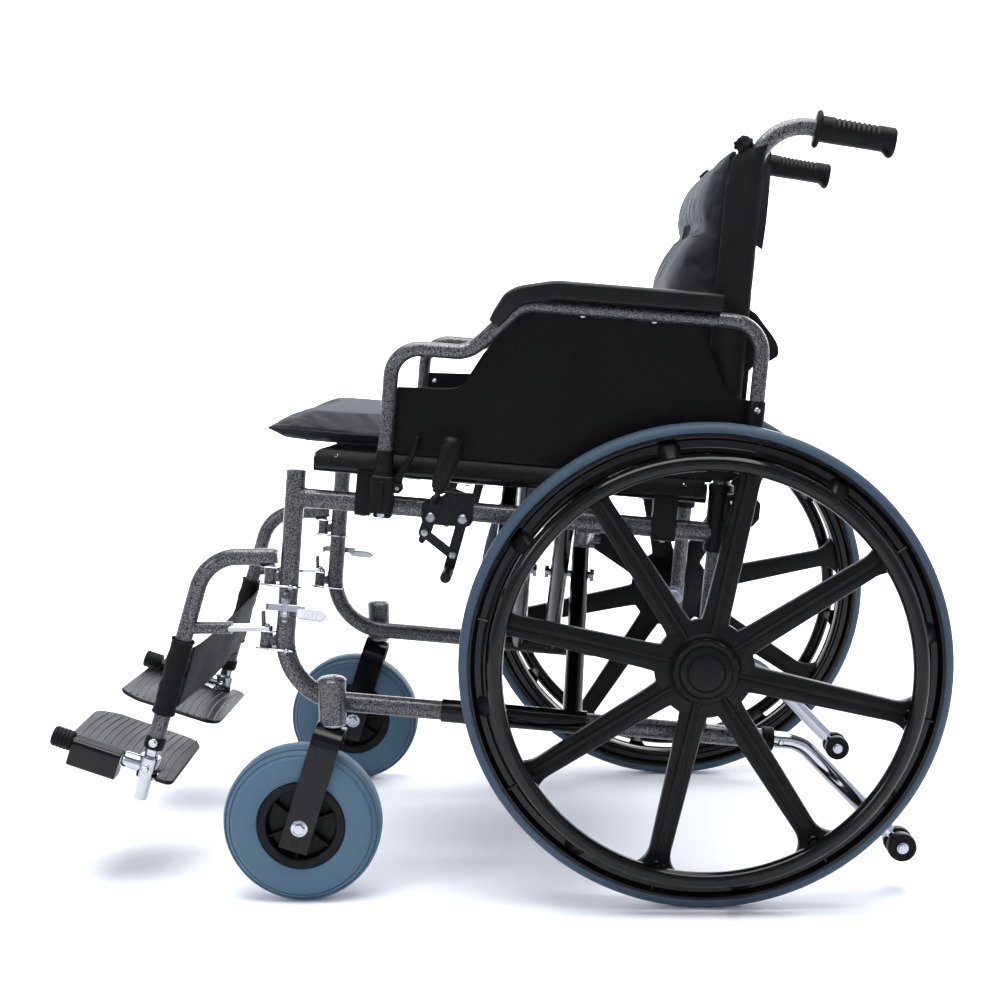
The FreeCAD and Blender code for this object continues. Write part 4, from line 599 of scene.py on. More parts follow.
def rear_wheel(side):
    start = SPOKE_TURN[side]
    wheel = [moulded_rim(side)] + wheel_hub(side)
    lugs = [hand_ring(side)]
    for k in range(SPOKES):
        turn = start + 360 / SPOKES * k
        wheel += [spoke(side, turn)] + spoke_boss(side, turn)
        lugs.append(ring_lug(side, turn + 180 / SPOKES))
    made = [(rear_tyre(side), "rear_tyre"), (merged(side + "_wheel_look", wheel), "rear_wheel"),
            (merged(side + "_handrim_look", lugs), "handrim")]
    for obj, node in made:
        if side == "right":
            other = twin(obj)
            bpy.data.objects.remove(obj)
            other.name, obj = f"right_{node}_look", other
        obj.name = f"{side}_{node}_look"
        show(obj, side + "_rear_wheel", f"{side}_{node}", both=False)


for side, _ in SIDES:
    rear_wheel(side)


# ---------------------------------------------------------------------------
# Casters
# ---------------------------------------------------------------------------
STEM = Vector((264, -466.6, 230))
CASTER = Vector((264, -508, 101.6))
ON_CASTER = IN_LEVEL @ Matrix(((0, 0, 1, CASTER.x), (1, 0, 0, CASTER.y), (0, 1, 0, CASTER.z), (0, 0, 0, 1)))


def caster_tyre():
    half = [(0, CASTER.z), (8, 101.3), (12.4, 100.4), (14.6, 99), (15.3, 97.7), (14.3, 97), (15.3, 96.3),
            (16.8, 95.6), (19, 93.6), (20.5, 91.8), (19.5, 91), (20.8, 90.2), (22.2, 88.6), (23.2, 86),
            (24.2, 78), (24, 68), (22.6, 60.5), (20.8, 57.4), (17, 56)]
    return lathe("left_caster_tyre_look", mirrored(half, 1), "caster_tyre", ON_CASTER, 96, True, 24)


def caster_hub():
    half = [(20.2, 56), (21, 54.4), (21, 46.8), (20, 45.2), (10, 44), (6.5, 42.5), (5.5, 20), (7.5, 15.5),
            (20, 14), (23, 13), (23.6, 11.6), (23.6, 4.2)]
    made = [lathe("hub", mirrored(half), "wheel", ON_CASTER, 64, loop=True, angle=26)]
    for face in (1, -1):
        for k in range(6):
            spin = ON_CASTER @ Matrix.Rotation(math.radians(60 * k + 20), 4, "Z")
            made.append(box("rib", (31, 2.4, 10), "wheel", spin @ shift(29.5, 0, face * 11.5), 0.6, 0.4))
        bearing = [(23.6, 10.5), (24.4, 10), (24.4, 7), (23.8, 6.5), (26, 6), (26, 4.1)]
        made.append(lathe("bearing", [(face * z, r) for z, r in bearing], "zinc", ON_CASTER, 32))
    return merged("left_caster_hub_look", made)


def caster_fork():
    """A strap bent over the wheel, its legs leaning back to the axle."""
    lean = STEM - CASTER
    lean.x = 0
    rise = lean.length
    upward = lean.normalized()
    fore = Vector((0, upward.z, -upward.y))
    half, width, thick, foot = 29.75, 18.5, 1.75, -31
    crown = rise - 5
    path = rounded([(half, foot), (half, crown), (-half, crown), (-half, foot)], [0, 24, 24, 0], 8, False)
    side, flat = width - 0.7, thick - 0.7
    section = [(-width, -flat), (-side, -thick), (side, -thick), (width, -flat),
               (width, flat), (side, thick), (-side, thick), (-width, flat)]
    spine = [CASTER + OUT * p.x + upward * p.y for p in path]
    verts = []
    for i, point in enumerate(spine):
        before, after = spine[max(i - 1, 0)], spine[min(i + 1, len(spine) - 1)]
        out = fore.cross((after - before).normalized())
        verts += [point + fore * a + out * b for a, b in section]
    size = len(spine), len(section)
    made = [piece("fork", verts, ring_faces(*size) + end_faces(*size), "paint", IN_LEVEL, 40)]
    for face in (1, -1):
        out = OUT * face
        made.append(hex_head("axle_head", on_level(CASTER + out * (half + thick), out, upward), 13, 6.5))
        spare = CASTER + out * (half + thick - 0.4) - upward * 20
        # A near-black disc paints the shade inside the fork's spare hole.
        hole = [(0, 0), (0, 3.2), (0.6, 3.6), (0.6, 4)]
        made.append(lathe("spare_hole", hole, "hole_shade", on_level(spare, out), 20))
    top = [(-4.5, 6), (-4.5, 14), (-3, 16), (-1.4, 16.5), (-1.2, 17.5), (-0.2, 17.5), (0, 6)]
    made.append(lathe("race", top, "zinc", on_level(STEM), 40))
    return merged("left_caster_fork_look", made)


def housing_cap():
    cap = [(0, 18.4), (1.6, 18.4), (2.2, 17.6), (4.6, 15), (6, 10.5), (6.8, 4), (7, 0)]
    return lathe("left_housing_cap", cap, "hammer", on_level(STEM + Vector((0, 0, 54))), 48)


show(caster_tyre(), "left_caster_wheel", "left_caster_tyre")
show(caster_hub(), "left_caster_wheel", "left_caster_hub")
show(caster_fork(), "left_caster_fork", "left_caster_fork")
show(housing_cap(), "left_frame")


# ---------------------------------------------------------------------------
# Side frame: grips, black fittings and fasteners, in rail space
# ---------------------------------------------------------------------------
RAIL_X, POST_U, UPRIGHT_U = 230, 6, -530.5
LOWER, UPPER, SEAT_RAIL = -98, 162, 210
TUBE = 12.5
# The height where the push handle leaves its post, and the radius of that bend.
HANDLE_RISE, HANDLE_BEND = 675.5, 62
ARM_X, ARM_FRONT, ARM_REAR, ARM_TUBE = 257.5, -416.7, 36.4, 9.5
LATCH_X = 247
# The two hanger hinges: their heights, and where their pins stand along the rails.
HINGES, HINGE_U = (60, -23), -555
ARM_PIVOT = 200
# Side space: X along the rails, Y up, Z outboard from the middle.
CYCLE = Matrix(((0, 0, 1, 0), (1, 0, 0, 0), (0, 1, 0, 0), (0, 0, 0, 1)))
ON_SIDE = IN_RAIL @ CYCLE
# Across space: X outboard, Y up, Z forward.
ON_FRONT = IN_RAIL @ Matrix(((1, 0, 0, 0), (0, 0, -1, 0), (0, 1, 0, 0), (0, 0, 0, 1)))


def smooth(low, high, value):
    t = max(0, min(1, (value - low) / (high - low)))
    return t * t * (3 - 2 * t)


def hand_grip():
    drop = math.radians(5)
    along = Vector((0, math.cos(drop), -math.sin(drop)))
    start = Vector((RAIL_X, POST_U, HANDLE_RISE)) + along * 71
    place = on_rail(start, along, OUT)
    steps, length = 40, 99
    verts = []
    stations = range(5, length + 1)
    for z in stations:
        finger = (22 < z < 77) * (0.5 - 0.5 * math.cos(2 * math.pi * (z - 22) / 6.1))
        for turn in circle(steps):
            below, above = max(0, math.sin(turn)), max(0, -math.sin(turn))
            r = 16.4 - 0.5 * smooth(20, 60, z) - 1.7 * finger * min(1, 1.6 * above)
            r += 6 * below * smooth(84, 94, z) - 2.5 * smooth(95.5, 99, z) ** 2
            verts.append((r * math.cos(turn), r * math.sin(turn), z))
    faces = ring_faces(len(stations), steps)
    last = (len(stations) - 1) * steps
    verts.append((0, 2, length + 1))
    faces += [[last + k, last + (k + 1) % steps, len(verts) - 1] for k in range(steps)]
    sleeve = piece("sleeve", verts, faces, "rubber", place, 50)
    oval = [(17.8 * math.cos(t), 1 + 23.5 * math.sin(t)) for t in circle(40)]
    flange = slab("flange", oval, 0, 7, "rubber", place, 2.4, 60)
    return merged("left_hand_grip_look", [sleeve, flange])


def cradle(start, end):
    """Plastic saddle that grips the upper rail and holds the seat rail."""
    half, foot, lip, hollow = 15.5, UPPER - 15, SEAT_RAIL - 3, 12.9
    outline = rounded([(-half, foot), (half, foot), (half, lip)], [4, 4, 1.2], 3)
    outline += [(hollow * math.cos(a), SEAT_RAIL + hollow * math.sin(a))
                for a in (math.radians(-14 - 19 * k) for k in range(9))] + [(-half, lip)]
    body = slab("cradle", outline, 0, end - start, "matte", ON_FRONT @ shift(RAIL_X, 0, -end), 1.0)
    screw = on_rail((RAIL_X + 3, (start + end) / 2, foot), -UP)
    return [body, dome_head("screw", screw, 4.5, 3)]


def arm_socket():
    side, half = 14.2, 13.2
    block = box("socket", (29, 2 * side, 47), "matte",
                IN_RAIL @ shift(ARM_X, ARM_FRONT, 178.5), 4, 1.6)
    clamp = box("clamp", (34, 2 * half - 3, 31), "matte",
                IN_RAIL @ shift(RAIL_X + 1, ARM_FRONT, UPPER), 6, 1.4)
    rib = box("rib", (3, 6, 40), "matte",
              IN_RAIL @ shift(ARM_X + 14.6, ARM_FRONT, 176), 1.2, 0.8)
    collar = lathe("collar", [(0, 13.6), (2, 13.4), (3.2, 12.6), (3.4, 10.4)], "matte",
                   on_rail((ARM_X, ARM_FRONT, 202)), 32)
    nut = acorn("nut", on_rail((ARM_X, ARM_FRONT, 154.8), -UP), 9, 9)
    ear = rounded(rect(ARM_FRONT + 11, 182, ARM_FRONT + 25, 194), [1, 5, 5, 1], 4)
    ears = [slab("ear", ear, x, x + 3, "matte", ON_SIDE, 0.6) for x in (ARM_X - 11.5, ARM_X + 8.5)]
    return [block, clamp, rib, collar, nut] + ears


def rear_bracket():
    """Sleeve on the back post with two cheeks that hold the arm's pivot."""
    sleeve = [(138, 11.4), (138, 14.6), (139.5, 15.6), (146, 15.6), (147, 14.8), (214, 14.8), (215, 15.8),
              (222, 15.8), (223.5, 14.8), (223.5, 11.4)]
    made = [lathe("sleeve", sleeve, "matte", on_rail((RAIL_X, POST_U, 0)), 40)]
    cheek = rounded([(14, 177), (44, 177), (52, 188), (52, 208), (42, 216), (14, 216)], [3, 6, 6, 8, 8, 3], 4)
    for x in (244.3, 267.6):
        made.append(slab("cheek", cheek, x, x + 3.1, "matte", ON_SIDE, 0.7))
    made.append(box("web", (26, 10, 38), "matte", IN_RAIL @ shift(ARM_X, POST_U + 9, 196), 2, 1))
    for u, n in ((18, 206), (20, 187)):
        made.append(dome_head("screw", on_rail((270.7, u, n), OUT), 4.2, 2.6))
    return made


def receiver_collar():
    """Ribbed clamp ring where the anti-tip tube enters the lower rail."""
    profile = [(0, 12.4), (0, 14.2), (1, 15)]
    for k in range(4):
        profile += [(2.2 + 3 * k, 15.6), (3.4 + 3 * k, 15.6), (3.8 + 3 * k, 14.6), (4.8 + 3 * k, 14.6)]
    profile += [(14, 15), (15, 14.2), (15, 11)]
    return lathe("collar", profile, "matte", on_rail((RAIL_X, 88, LOWER), BACK), 40)


def upright_cap():
    return lathe("upright_cap", [(-1, 12.4), (0.4, 12.5), (1.4, 12), (2, 10), (2.3, 5), (2.4, 0)], "hammer",
                 on_rail((RAIL_X, UPRIGHT_U, 195)), 40)


def fittings():
    made = cradle(-77, -47) + cradle(-452, -432)
    made += arm_socket() + rear_bracket() + [receiver_collar(), upright_cap()]
    return merged("left_frame_fittings_look", made)


def weld(origin, along, radius, width=3.2):
    """A rippled bead round a joint."""
    verts, faces, steps, sides = [], [], 90, 6
    for turn in circle(steps):
        fat = width * (0.5 + 0.1 * math.sin(30 * turn))
        for a in circle(sides):
            r = radius + fat * math.cos(a)
            verts.append((r * math.cos(turn), r * math.sin(turn), fat * math.sin(a)))
    for k in range(steps):
        for s in range(sides):
            n, m = (k + 1) % steps, (s + 1) % sides
            faces.append([k * sides + s, n * sides + s, n * sides + m, k * sides + m])
    return piece("bead", verts, faces, "hammer", on_rail(origin, along), 60)


def welds():
    made = [weld((RAIL_X, UPRIGHT_U + TUBE, UPPER), BACK, 11.6),
            weld((RAIL_X, POST_U - 11.5, UPPER), BACK, 11.4),
            weld((RAIL_X, POST_U, LOWER + TUBE), UP, 10.4),
            weld((242, 0, 0), OUT, 12, 2.6)]
    made += [weld((RAIL_X, -543.2, rise), BACK, 4.6, 2.4) for rise in HINGES]
    return merged("left_weld_beads", made)


def bolts():
    """Axle, arm pivot, latch pin and release pin."""
    shaft = [(0, 0), (0, 6.35), (105, 6.35), (105, 0)]
    inner = RAIL_X - 14
    made = [lathe("axle", shaft, "zinc", on_rail((inner, 0, 0), OUT), 24),
            hex_head("axle_nut", on_rail((inner, 0, 0), -OUT), 19, 10, "zinc"),
            hex_head("arm_bolt", on_rail((270.8, ARM_REAR, ARM_PIVOT), OUT), 8, 5),
            acorn("arm_nut", on_rail((244.2, ARM_REAR, ARM_PIVOT), -OUT), 8, 7),
            lathe("arm_pin", [(0, 0), (0, 3), (26, 3), (26, 0)], "zinc",
                  on_rail((244.5, ARM_REAR, ARM_PIVOT), OUT), 16),
            lathe("release_pin", [(0, 0), (0, 2.4), (1, 2.6), (24, 2.6), (25, 2.2), (25, 0)], "zinc",
                  on_rail((ARM_X - 12.5, ARM_FRONT + 19, 188), OUT), 16),
            lathe("latch_pin", [(0, 0), (0, 3), (1, 3.4), (34, 2), (36, 3.8), (38, 3), (38.4, 0)], "zinc",
                  on_rail((LATCH_X, UPRIGHT_U, 3)), 16)]
    return merged("left_frame_bolts_look", made)


show(hand_grip(), "left_frame", "left_hand_grip")
show(fittings(), "left_frame", "left_frame_fittings")
show(welds(), "left_frame")
show(bolts(), "left_frame", "left_frame_bolts")


# ---------------------------------------------------------------------------
# Armrest
# ---------------------------------------------------------------------------
ARM_TOP, PAD_X, PANEL_X = 427.5, 268.5, 245.5


def arm_pad():
    """Moulded skin pad: one rounded section carried along the arm and down the slope of its nose."""
    path = rounded([(PAD_X, -294, 401), (PAD_X, -272, 436), (PAD_X, -222, 447.5), (PAD_X, -19, 447.5)],
                   [0, 34, 70, 0], 9, False)
    stations = [path[0]]
    for a, b in zip(path, path[1:]):
        steps = max(1, round((b - a).length / 8))
        stations += [a.lerp(b, k / steps) for k in range(1, steps + 1)]
    wide, high = 22.6, 12
    section = []
    for t in circle(36):
        c, s = math.cos(t), math.sin(t)
        power = 0.42 if s > 0 else 0.26
        section.append((wide * math.copysign(abs(c) ** power, c), high * math.copysign(abs(s) ** power, s)))

    def grow(t):
        nose = 0.62 + 0.38 * math.sqrt(min(1, t / 0.1)) if t < 0.1 else 1
        tail = 0.86 + 0.14 * math.sqrt(min(1, (1 - t) / 0.03)) if t > 0.97 else 1
        return nose * tail

    made = [sweep("skin", stations, section, "leather", IN_RAIL, UP, scale=grow, angle=60)]
    for u in (-186, -98):
        made.append(dome_head("pad_screw", on_rail((ARM_X, u, ARM_TOP - ARM_TUBE + 0.4), -UP), 4.2, 3))
    return merged("left_arm_pad_look", made)


def skirt_panel():
    foot, top, front, rear = 229, ARM_TOP - 3, ARM_FRONT + 7, ARM_REAR + 12
    points = [(front, foot), (rear - 26, foot), (rear - 2, foot + 74), (rear, foot + 102),
              (rear - 34, foot + 104), (rear - 52, foot + 118), (rear - 92, top), (-256, top), (-304, 364.5),
              (-330, 317), (front, 313)]
    outline = rounded(points, [4, 20, 6, 4, 8, 16, 8, 20, 8, 22, 4], 6)
    made = [slab("panel", outline, PANEL_X, PANEL_X + 2.5, "panel", ON_SIDE, 0.9)]
    for u, n in ((front + 11, foot + 12), (front + 11, 300)):
        made.append(dome_head("panel_screw", on_rail((PANEL_X, u, n), -OUT), 4, 2))
    return merged("left_skirt_panel_look", made)


def arm_trim():
    """Black sleeve on the front leg above its socket, and the strap where the leg holds the panel."""
    sleeve = lathe("leg_sleeve", [(0, 10.2), (0, 11), (1.2, 11.6), (26, 11.2), (28, 10.4), (28, 9.4)],
                   "matte", on_rail((ARM_X, ARM_FRONT, 205.5)), 32)
    saddle = lathe("leg_saddle", [(-22, 9.4), (-22, 10.6), (20, 11.2), (22, 10.4), (22, 9.4)], "matte",
                   on_rail((ARM_X, ARM_REAR, 310)), 32)
    screw = dome_head("leg_screw", on_rail((ARM_X + ARM_TUBE + 0.8, ARM_REAR, 321), OUT), 4, 2.4)
    plug = lathe("leg_plug", [(-3, 6), (-3, 9), (0, 9.6), (2, 9.6)], "matte",
                 on_rail((ARM_X, ARM_FRONT, 170)), 24)
    return merged("left_arm_trim", [sleeve, saddle, screw, plug])


def arm_lever():
    base, rise = ARM_FRONT + 19, 188
    offsets = [(-5, -5), (5, -5), (5, 11), (20, 46), (23, 66), (18.5, 66), (14.5, 49), (-5, 14)]
    points = [(base + u, rise + n) for u, n in offsets]
    return slab("left_arm_lever_look", rounded(points, [4.8, 4.8, 8, 14, 2, 2, 14, 8], 5),
                ARM_X - 7.5, ARM_X + 7.5, "matte", ON_SIDE, 1.2)


show(arm_pad(), "left_armrest", "left_arm_pad")
show(skirt_panel(), "left_armrest", "left_skirt_panel")
show(arm_trim(), "left_armrest")
show(arm_lever(), "left_arm_lever", "left_arm_lever")


# ---------------------------------------------------------------------------
# Wheel lock
# ---------------------------------------------------------------------------
LOCK = Vector((-354.5, 153.2))
SHOE = Vector((-314.4, 154.1))
CRANK = LOCK + heading(-107.2) * 21
SHOE_DOWN = heading(-100.9)
LINK_END = SHOE + SHOE_DOWN * 47.2
SHOE_TIP = SHOE + SHOE_DOWN * 68.3


def strap(name, first, last, half, low, high, material="lock"):
    """A pressed bar with round ends between two points of side space."""
    along = (last - first).normalized()
    side = Vector((-along.y, along.x)) * half
    corners = [first - side - along * half, last - side + along * half, last + side + along * half,
               first + side - along * half]
    return slab(name, rounded(corners, half - 0.1, 6), low, high, material, ON_SIDE, 0.6)


def lock_bracket():
    points = [(-367, 143), (-302, 144), (-302, 184), (-328, 192), (-348, 177), (-367, 171)]
    made = [slab("plate", rounded(points, [8, 8, 6, 6, 6, 6], 5), 242.5, 245.5, "lock", ON_SIDE, 0.6)]
    half = TUBE + 3
    made.append(box("clamp", (30, 26, 2 * half), "lock",
                    IN_RAIL @ shift(RAIL_X - 0.5, -335, UPPER), 7, 1))
    made.append(box("flange", (8, 40, 3), "lock", IN_RAIL @ shift(247, -322, 186), 2, 0.8))
    for place in (LOCK, SHOE):
        stud = [(0, 3), (6.5, 3), (6.5, 6), (8, 6.2), (9.5, 4.6), (9.8, 0)]
        made.append(lathe("stud", stud, "zinc", ON_SIDE @ shift(*place, 245), 20))
    for way in (1, -1):
        made.append(dome_head("bolt", on_rail((236, -335, UPPER + 18.8 * way), UP * way), 4.4, 3))
    return merged("left_brake_bracket_look", made)


def lock_lever():
    lean = math.radians(13)
    along = Vector((0, math.sin(lean), math.cos(lean)))
    pivot = Vector((0, LOCK.x, LOCK.y))
    made = [strap("arm", CRANK, LOCK + Vector((along.y, along.z)) * 22, 8, 245.8, 249.4)]
    start = Vector((247.5, 0, 0)) + pivot + along * 20
    grip_start = Vector((285, 0, 0)) + pivot + along * 44
    neck = rounded([start, grip_start, grip_start + along * 50], [0, 14, 0], 8, False)
    made.append(sweep("neck", neck, ring_section(4, 14), "lock"))
    profile = [(-3, 3.8), (-3, 8.2), (-1.4, 9.6), (4, 10.6), (20, 12), (44, 13.6), (52, 13.8), (58, 12.8),
               (62.6, 9.6), (64.6, 5.2), (65, 0)]
    made.append(lathe("grip", profile, "rubber", on_rail(grip_start, along), 36, angle=50))
    made.append(lathe("grip_ring", [(-7, 4), (-7, 6.4), (-6, 7), (-3.4, 7), (-3, 6)], "matte",
                      on_rail(grip_start, along), 28))
    rivet = [(0, 2.5), (5.5, 2.5), (5.6, 4.4), (6.6, 4.2), (7.4, 2.6), (7.5, 0)]
    made.append(lathe("rivet", rivet, "zinc", ON_SIDE @ shift(*CRANK, 247), 18))
    tail = CRANK + (CRANK - LOCK).normalized() * 10
    made.append(strap("stop", CRANK, tail, 4.5, 246.2, 249))
    return merged("left_brake_lever_look", made)


def lock_link():
    made = [strap("bar", CRANK, LINK_END, 6, 250, 252.6)]
    rivet = [(0, 4), (2.6, 4), (2.8, 4.6), (4, 4.2), (4.8, 2.4), (4.9, 0)]
    made.append(lathe("rivet", rivet, "zinc", ON_SIDE @ shift(*LINK_END, 250), 18))
    return merged("left_brake_link_look", made)


def lock_shoe():
    made = [strap("arm", SHOE, SHOE_TIP - SHOE_DOWN * 4, 7, 245.8, 249.4)]
    bar = [(0, 0), (0, 5.6), (0.8, 6.6), (54, 6.9), (56, 6), (56.4, 0)]
    made.append(lathe("bar", bar, "lock", ON_SIDE @ shift(*SHOE_TIP, 248), 28))
    for z in range(10, 55, 5):
        rib = [(z, 6), (z, 7.1), (z + 2, 7.1), (z + 2, 6)]
        made.append(lathe("rib", rib, "lock", ON_SIDE @ shift(*SHOE_TIP, 248), 28))
    return merged("left_brake_shoe_look", made)


show(lock_bracket(), "left_frame", "left_brake_bracket")
show(lock_lever(), "left_brake_lever", "left_brake_lever")
show(lock_link(), "left_brake_link", "left_brake_link")
show(lock_shoe(), "left_brake_shoe", "left_brake_shoe")


# ---------------------------------------------------------------------------
# Swing-away front riggings
# ---------------------------------------------------------------------------
HANGER_TOP = Vector((RAIL_X, -629.2, 438.6))
HANGER_LEAN = math.radians(17.2)
HANGER_DOWN = Vector((0, -math.sin(HANGER_LEAN), -math.cos(HANGER_LEAN)))
HANGER_END, CALF_START, CALF_END = 257.5, 120, 202
CLAMP_BOLT, TUBE_HOLE = 252, 269
PLATE_AXIS = HANGER_TOP + HANGER_DOWN * 288
PLATE_TILT = math.radians(19)
FORWARD = Vector((0, -math.cos(PLATE_TILT), math.sin(PLATE_TILT)))
ABOVE = Vector((0, math.sin(PLATE_TILT), math.cos(PLATE_TILT)))
# Plate space: X outboard, Y forward along the plate, Z above it, from the folding axis.
ON_PLATE = IN_LEVEL @ Matrix.Translation(PLATE_AXIS) @ Matrix((OUT, FORWARD, ABOVE)).transposed().to_4x4()


def down_hanger(distance):
    return HANGER_TOP + HANGER_DOWN * distance


def hanger_latch():
    """Spring latch beside the upper hinge, with its thumb paddle."""
    low, high = 17.5, 26.5
    arm = rounded(rect(HINGE_U, low, HINGE_U + 50, high), [3, 2, 2, 3], 4)
    hook = rounded(rect(235, HINGE_U, 251, HINGE_U + 4), 1.2, 3)
    made = [slab("arm", arm, 248, 251, "zinc", ON_SIDE, 0.5),
            slab("hook", hook, low, high, "zinc", IN_RAIL, 0.4)]
    barrel = [(0, 3.4), (0, 5), (1, 5.6), (5, 5.6), (5.6, 5), (18.4, 5), (19, 5.6), (23, 5.6), (24, 5),
              (24, 3.4)]
    made.append(lathe("barrel", barrel, "zinc", on_rail((LATCH_X, UPRIGHT_U, 10)), 24))
    outline = rounded([(0, -516), (17, -512), (19, -480), (9, -475), (0, -484)], [2, 6, 9, 6, 4], 6)
    tipped = IN_RAIL @ shift(248.5, 0, 22) @ Matrix.Rotation(math.radians(38), 4, "Y")
    made.append(slab("paddle", outline, -1.8, 1.8, "paddle", tipped, 1.2))
    for k in range(4):
        made.append(box("ridge", (11, 1.6, 1), "paddle", tipped @ shift(9.5, -504 + 5 * k, 2.1), 0.6, 0.3))
    return merged("left_hanger_latch_look", made)


def hinge_dressing():
    """Chrome plates over and under the hinge sockets, with the pins' heads."""
    made = []
    outline = rounded([(218, -568), (242, -568), (243, -546), (238, -541), (222, -541), (217, -546)],
                      [9, 9, 4, 3, 3, 4], 5)
    for n in HINGES:
        made.append(slab("hinge_plate", outline, n + 9.6, n + 11.4, "chrome", IN_RAIL, 0.5))
        made.append(acorn("pin_head", on_rail((RAIL_X, HINGE_U, n + 11.4)), 10, 8))
    arm = rounded(rect(RAIL_X - 11, -603, RAIL_X + 11, -546), [3, 3, 10, 10], 5)
    made.append(slab("arm_plate", arm, 343.4, 349.6, "chrome", IN_LEVEL, 0.6))
    return merged("left_hinge_dressing", made)


def hinge_collars():
    """Chrome plates welded to the upright that carry the hinge sockets."""
    outline = rounded([(219, -567), (241, -567), (247, -545), (247, -519), (241, -513), (219, -513),
                       (213, -519), (213, -545)], [8, 8, 5, 5, 4, 4, 5, 5], 5)
    made = [slab("collar", outline, n - 13.2, n - 10.4, "chrome", IN_RAIL, 0.5) for n in HINGES]
    made += [dome_head("collar_bolt", on_rail((246.6, -526, n - 11.8), OUT), 3.6, 2.6) for n in HINGES]
    return merged("left_hinge_collars", made)


def footrest_clamp():
    """Black ferrule and pinch bolt where the hanger tube takes the extension tube."""
    profile = [(0, 11.2), (0, 12.6), (1, 13.2), (14, 13.2), (16, 12), (16, 9.9)]
    ferrule = lathe("ferrule", profile, "matte", on_level(down_hanger(246), HANGER_DOWN), 36)
    bolt = hex_head("pinch", on_level(down_hanger(CLAMP_BOLT) + OUT * 12.6, OUT), 7, 4)
    return merged("left_footrest_clamp", [ferrule, bolt])


def footrest_tube():
    start = HANGER_END - 30
    wall = [(start, 9.3), (331, 9.3), (332, 8.8), (332, 7.6), (300, 7.4), (start, 7.4)]
    tube = lathe("tube", wall, "chrome", on_level(HANGER_TOP, HANGER_DOWN), 40, loop=True)
    place = on_level(down_hanger(TUBE_HOLE) + OUT * 9.1, OUT)
    # A near-black disc paints the shade inside the tube's hole.
    hole = lathe("hole", [(0, 0), (0, 2), (0.3, 2.4), (0.4, 2.4)], "hole_shade", place, 14)
    return merged("left_footrest_tube_look", [tube, hole])


def plate_clamp():
    """Chrome casting round the extension tube that carries the folding pin."""
    body = [(-15, 9.4), (-15, 12.8), (-13.5, 13.8), (13.5, 13.8), (15, 12.8), (15, 9.4)]
    boss = [(9, 10.8), (31, 10.8), (33.5, 9.6), (34.5, 8), (34.5, 5.9)]
    pin = [(34, 0), (34, 5.9), (103, 5.9), (104, 5.2), (104, 0)]
    made = [lathe("body", body, "chrome", on_level(PLATE_AXIS, HANGER_DOWN), 40, loop=True),
            lathe("boss", boss, "chrome", on_level(PLATE_AXIS, FORWARD), 36),
            lathe("pin", pin, "zinc", on_level(PLATE_AXIS, FORWARD), 24)]
    for way in (1, -1):
        made.append(hex_head("clamp_bolt", on_level(PLATE_AXIS + OUT * way * 13.6, OUT * way), 8, 4.5))
    return merged("left_footplate_pivot_look", made)


def footplate():
    """Moulded plate with curved grooves on top, a ribbed pivot box and a bumper roll."""
    corners = [(-181.5, -35), (14, -38), (14, -14), (-17.5, -14), (-17.5, 14), (-13.5, 17), (-13.5, 118),
               (-169.5, 122), (-185.5, 92)]
    outline = rounded(corners, [26, 12, 3, 4, 2, 2, 8, 24, 30], 6)
    made = [slab("plate", outline, -12, -6.6, "panel", ON_PLATE, 2.0, 40)]
    rib = [(-1.7, -1), (-1.2, 0.6), (-0.4, 1.2), (0.4, 1.2), (1.2, 0.6), (1.7, -1)]
    for y in range(-26, 111, 10):
        far = -176 + 0.6 * max(0, y - 60) ** 0.5
        near = -22 if y > -18 else 4
        path = [Vector((far + (near - far) * t, y + 5 * math.sin(math.pi * t), -6.8))
                for t in (j / 12 for j in range(13))]
        made.append(sweep("rib", path, rib, "panel", ON_PLATE, UP, angle=50))
    edge = rounded(rect(-14, -29, 14, 7), [5, 5, 6, 6], 5)
    end_on = ON_PLATE @ Matrix(((1, 0, 0, 0), (0, 0, 1, 0), (0, 1, 0, 0), (0, 0, 0, 1)))
    made.append(slab("box", edge, 36, 102, "gloss", end_on, 1.2))
    for k in range(5):
        place = ON_PLATE @ shift(-9 + 4.5 * k, 69, 7.2)
        made.append(box("box_rib", (1.5, 64, 1.3), "gloss", place, 0.6, 0.3))
    washer = [(34.8, 6.2), (34.8, 11), (35.8, 11.4), (35.8, 6.2)]
    made.append(lathe("washer", washer, "chrome", end_on, 32, loop=True))
    roll = [(103, 6), (103, 12), (104.5, 13.2)]
    for k in range(5):
        roll += [(z + 4.8 * k, r) for z, r in ((105.5, 13.5), (108, 13.5), (108.6, 12.5), (109.4, 12.5))]
    roll += [(129, 12.6), (130, 11.5), (130, 0)]
    made.append(lathe("bumper", roll, "rubber", end_on, 32))
    return merged("left_footplate_look", made)


show(hanger_latch(), "left_hanger_latch", "left_hanger_latch")
show(hinge_dressing(), "left_hanger")
show(hinge_collars(), "left_frame")
show(footrest_clamp(), "left_hanger")
show(footrest_tube(), "left_footrest_tube", "left_footrest_tube")
show(plate_clamp(), "left_footplate_pivot", "left_footplate_pivot")
show(footplate(), "left_footplate", "left_footplate")


# ---------------------------------------------------------------------------
# Anti-tip wheels and spring button
# ---------------------------------------------------------------------------
TIP_AXLE = Vector((RAIL_X, 278.4, -220))
TIP_WHEEL = 18.5


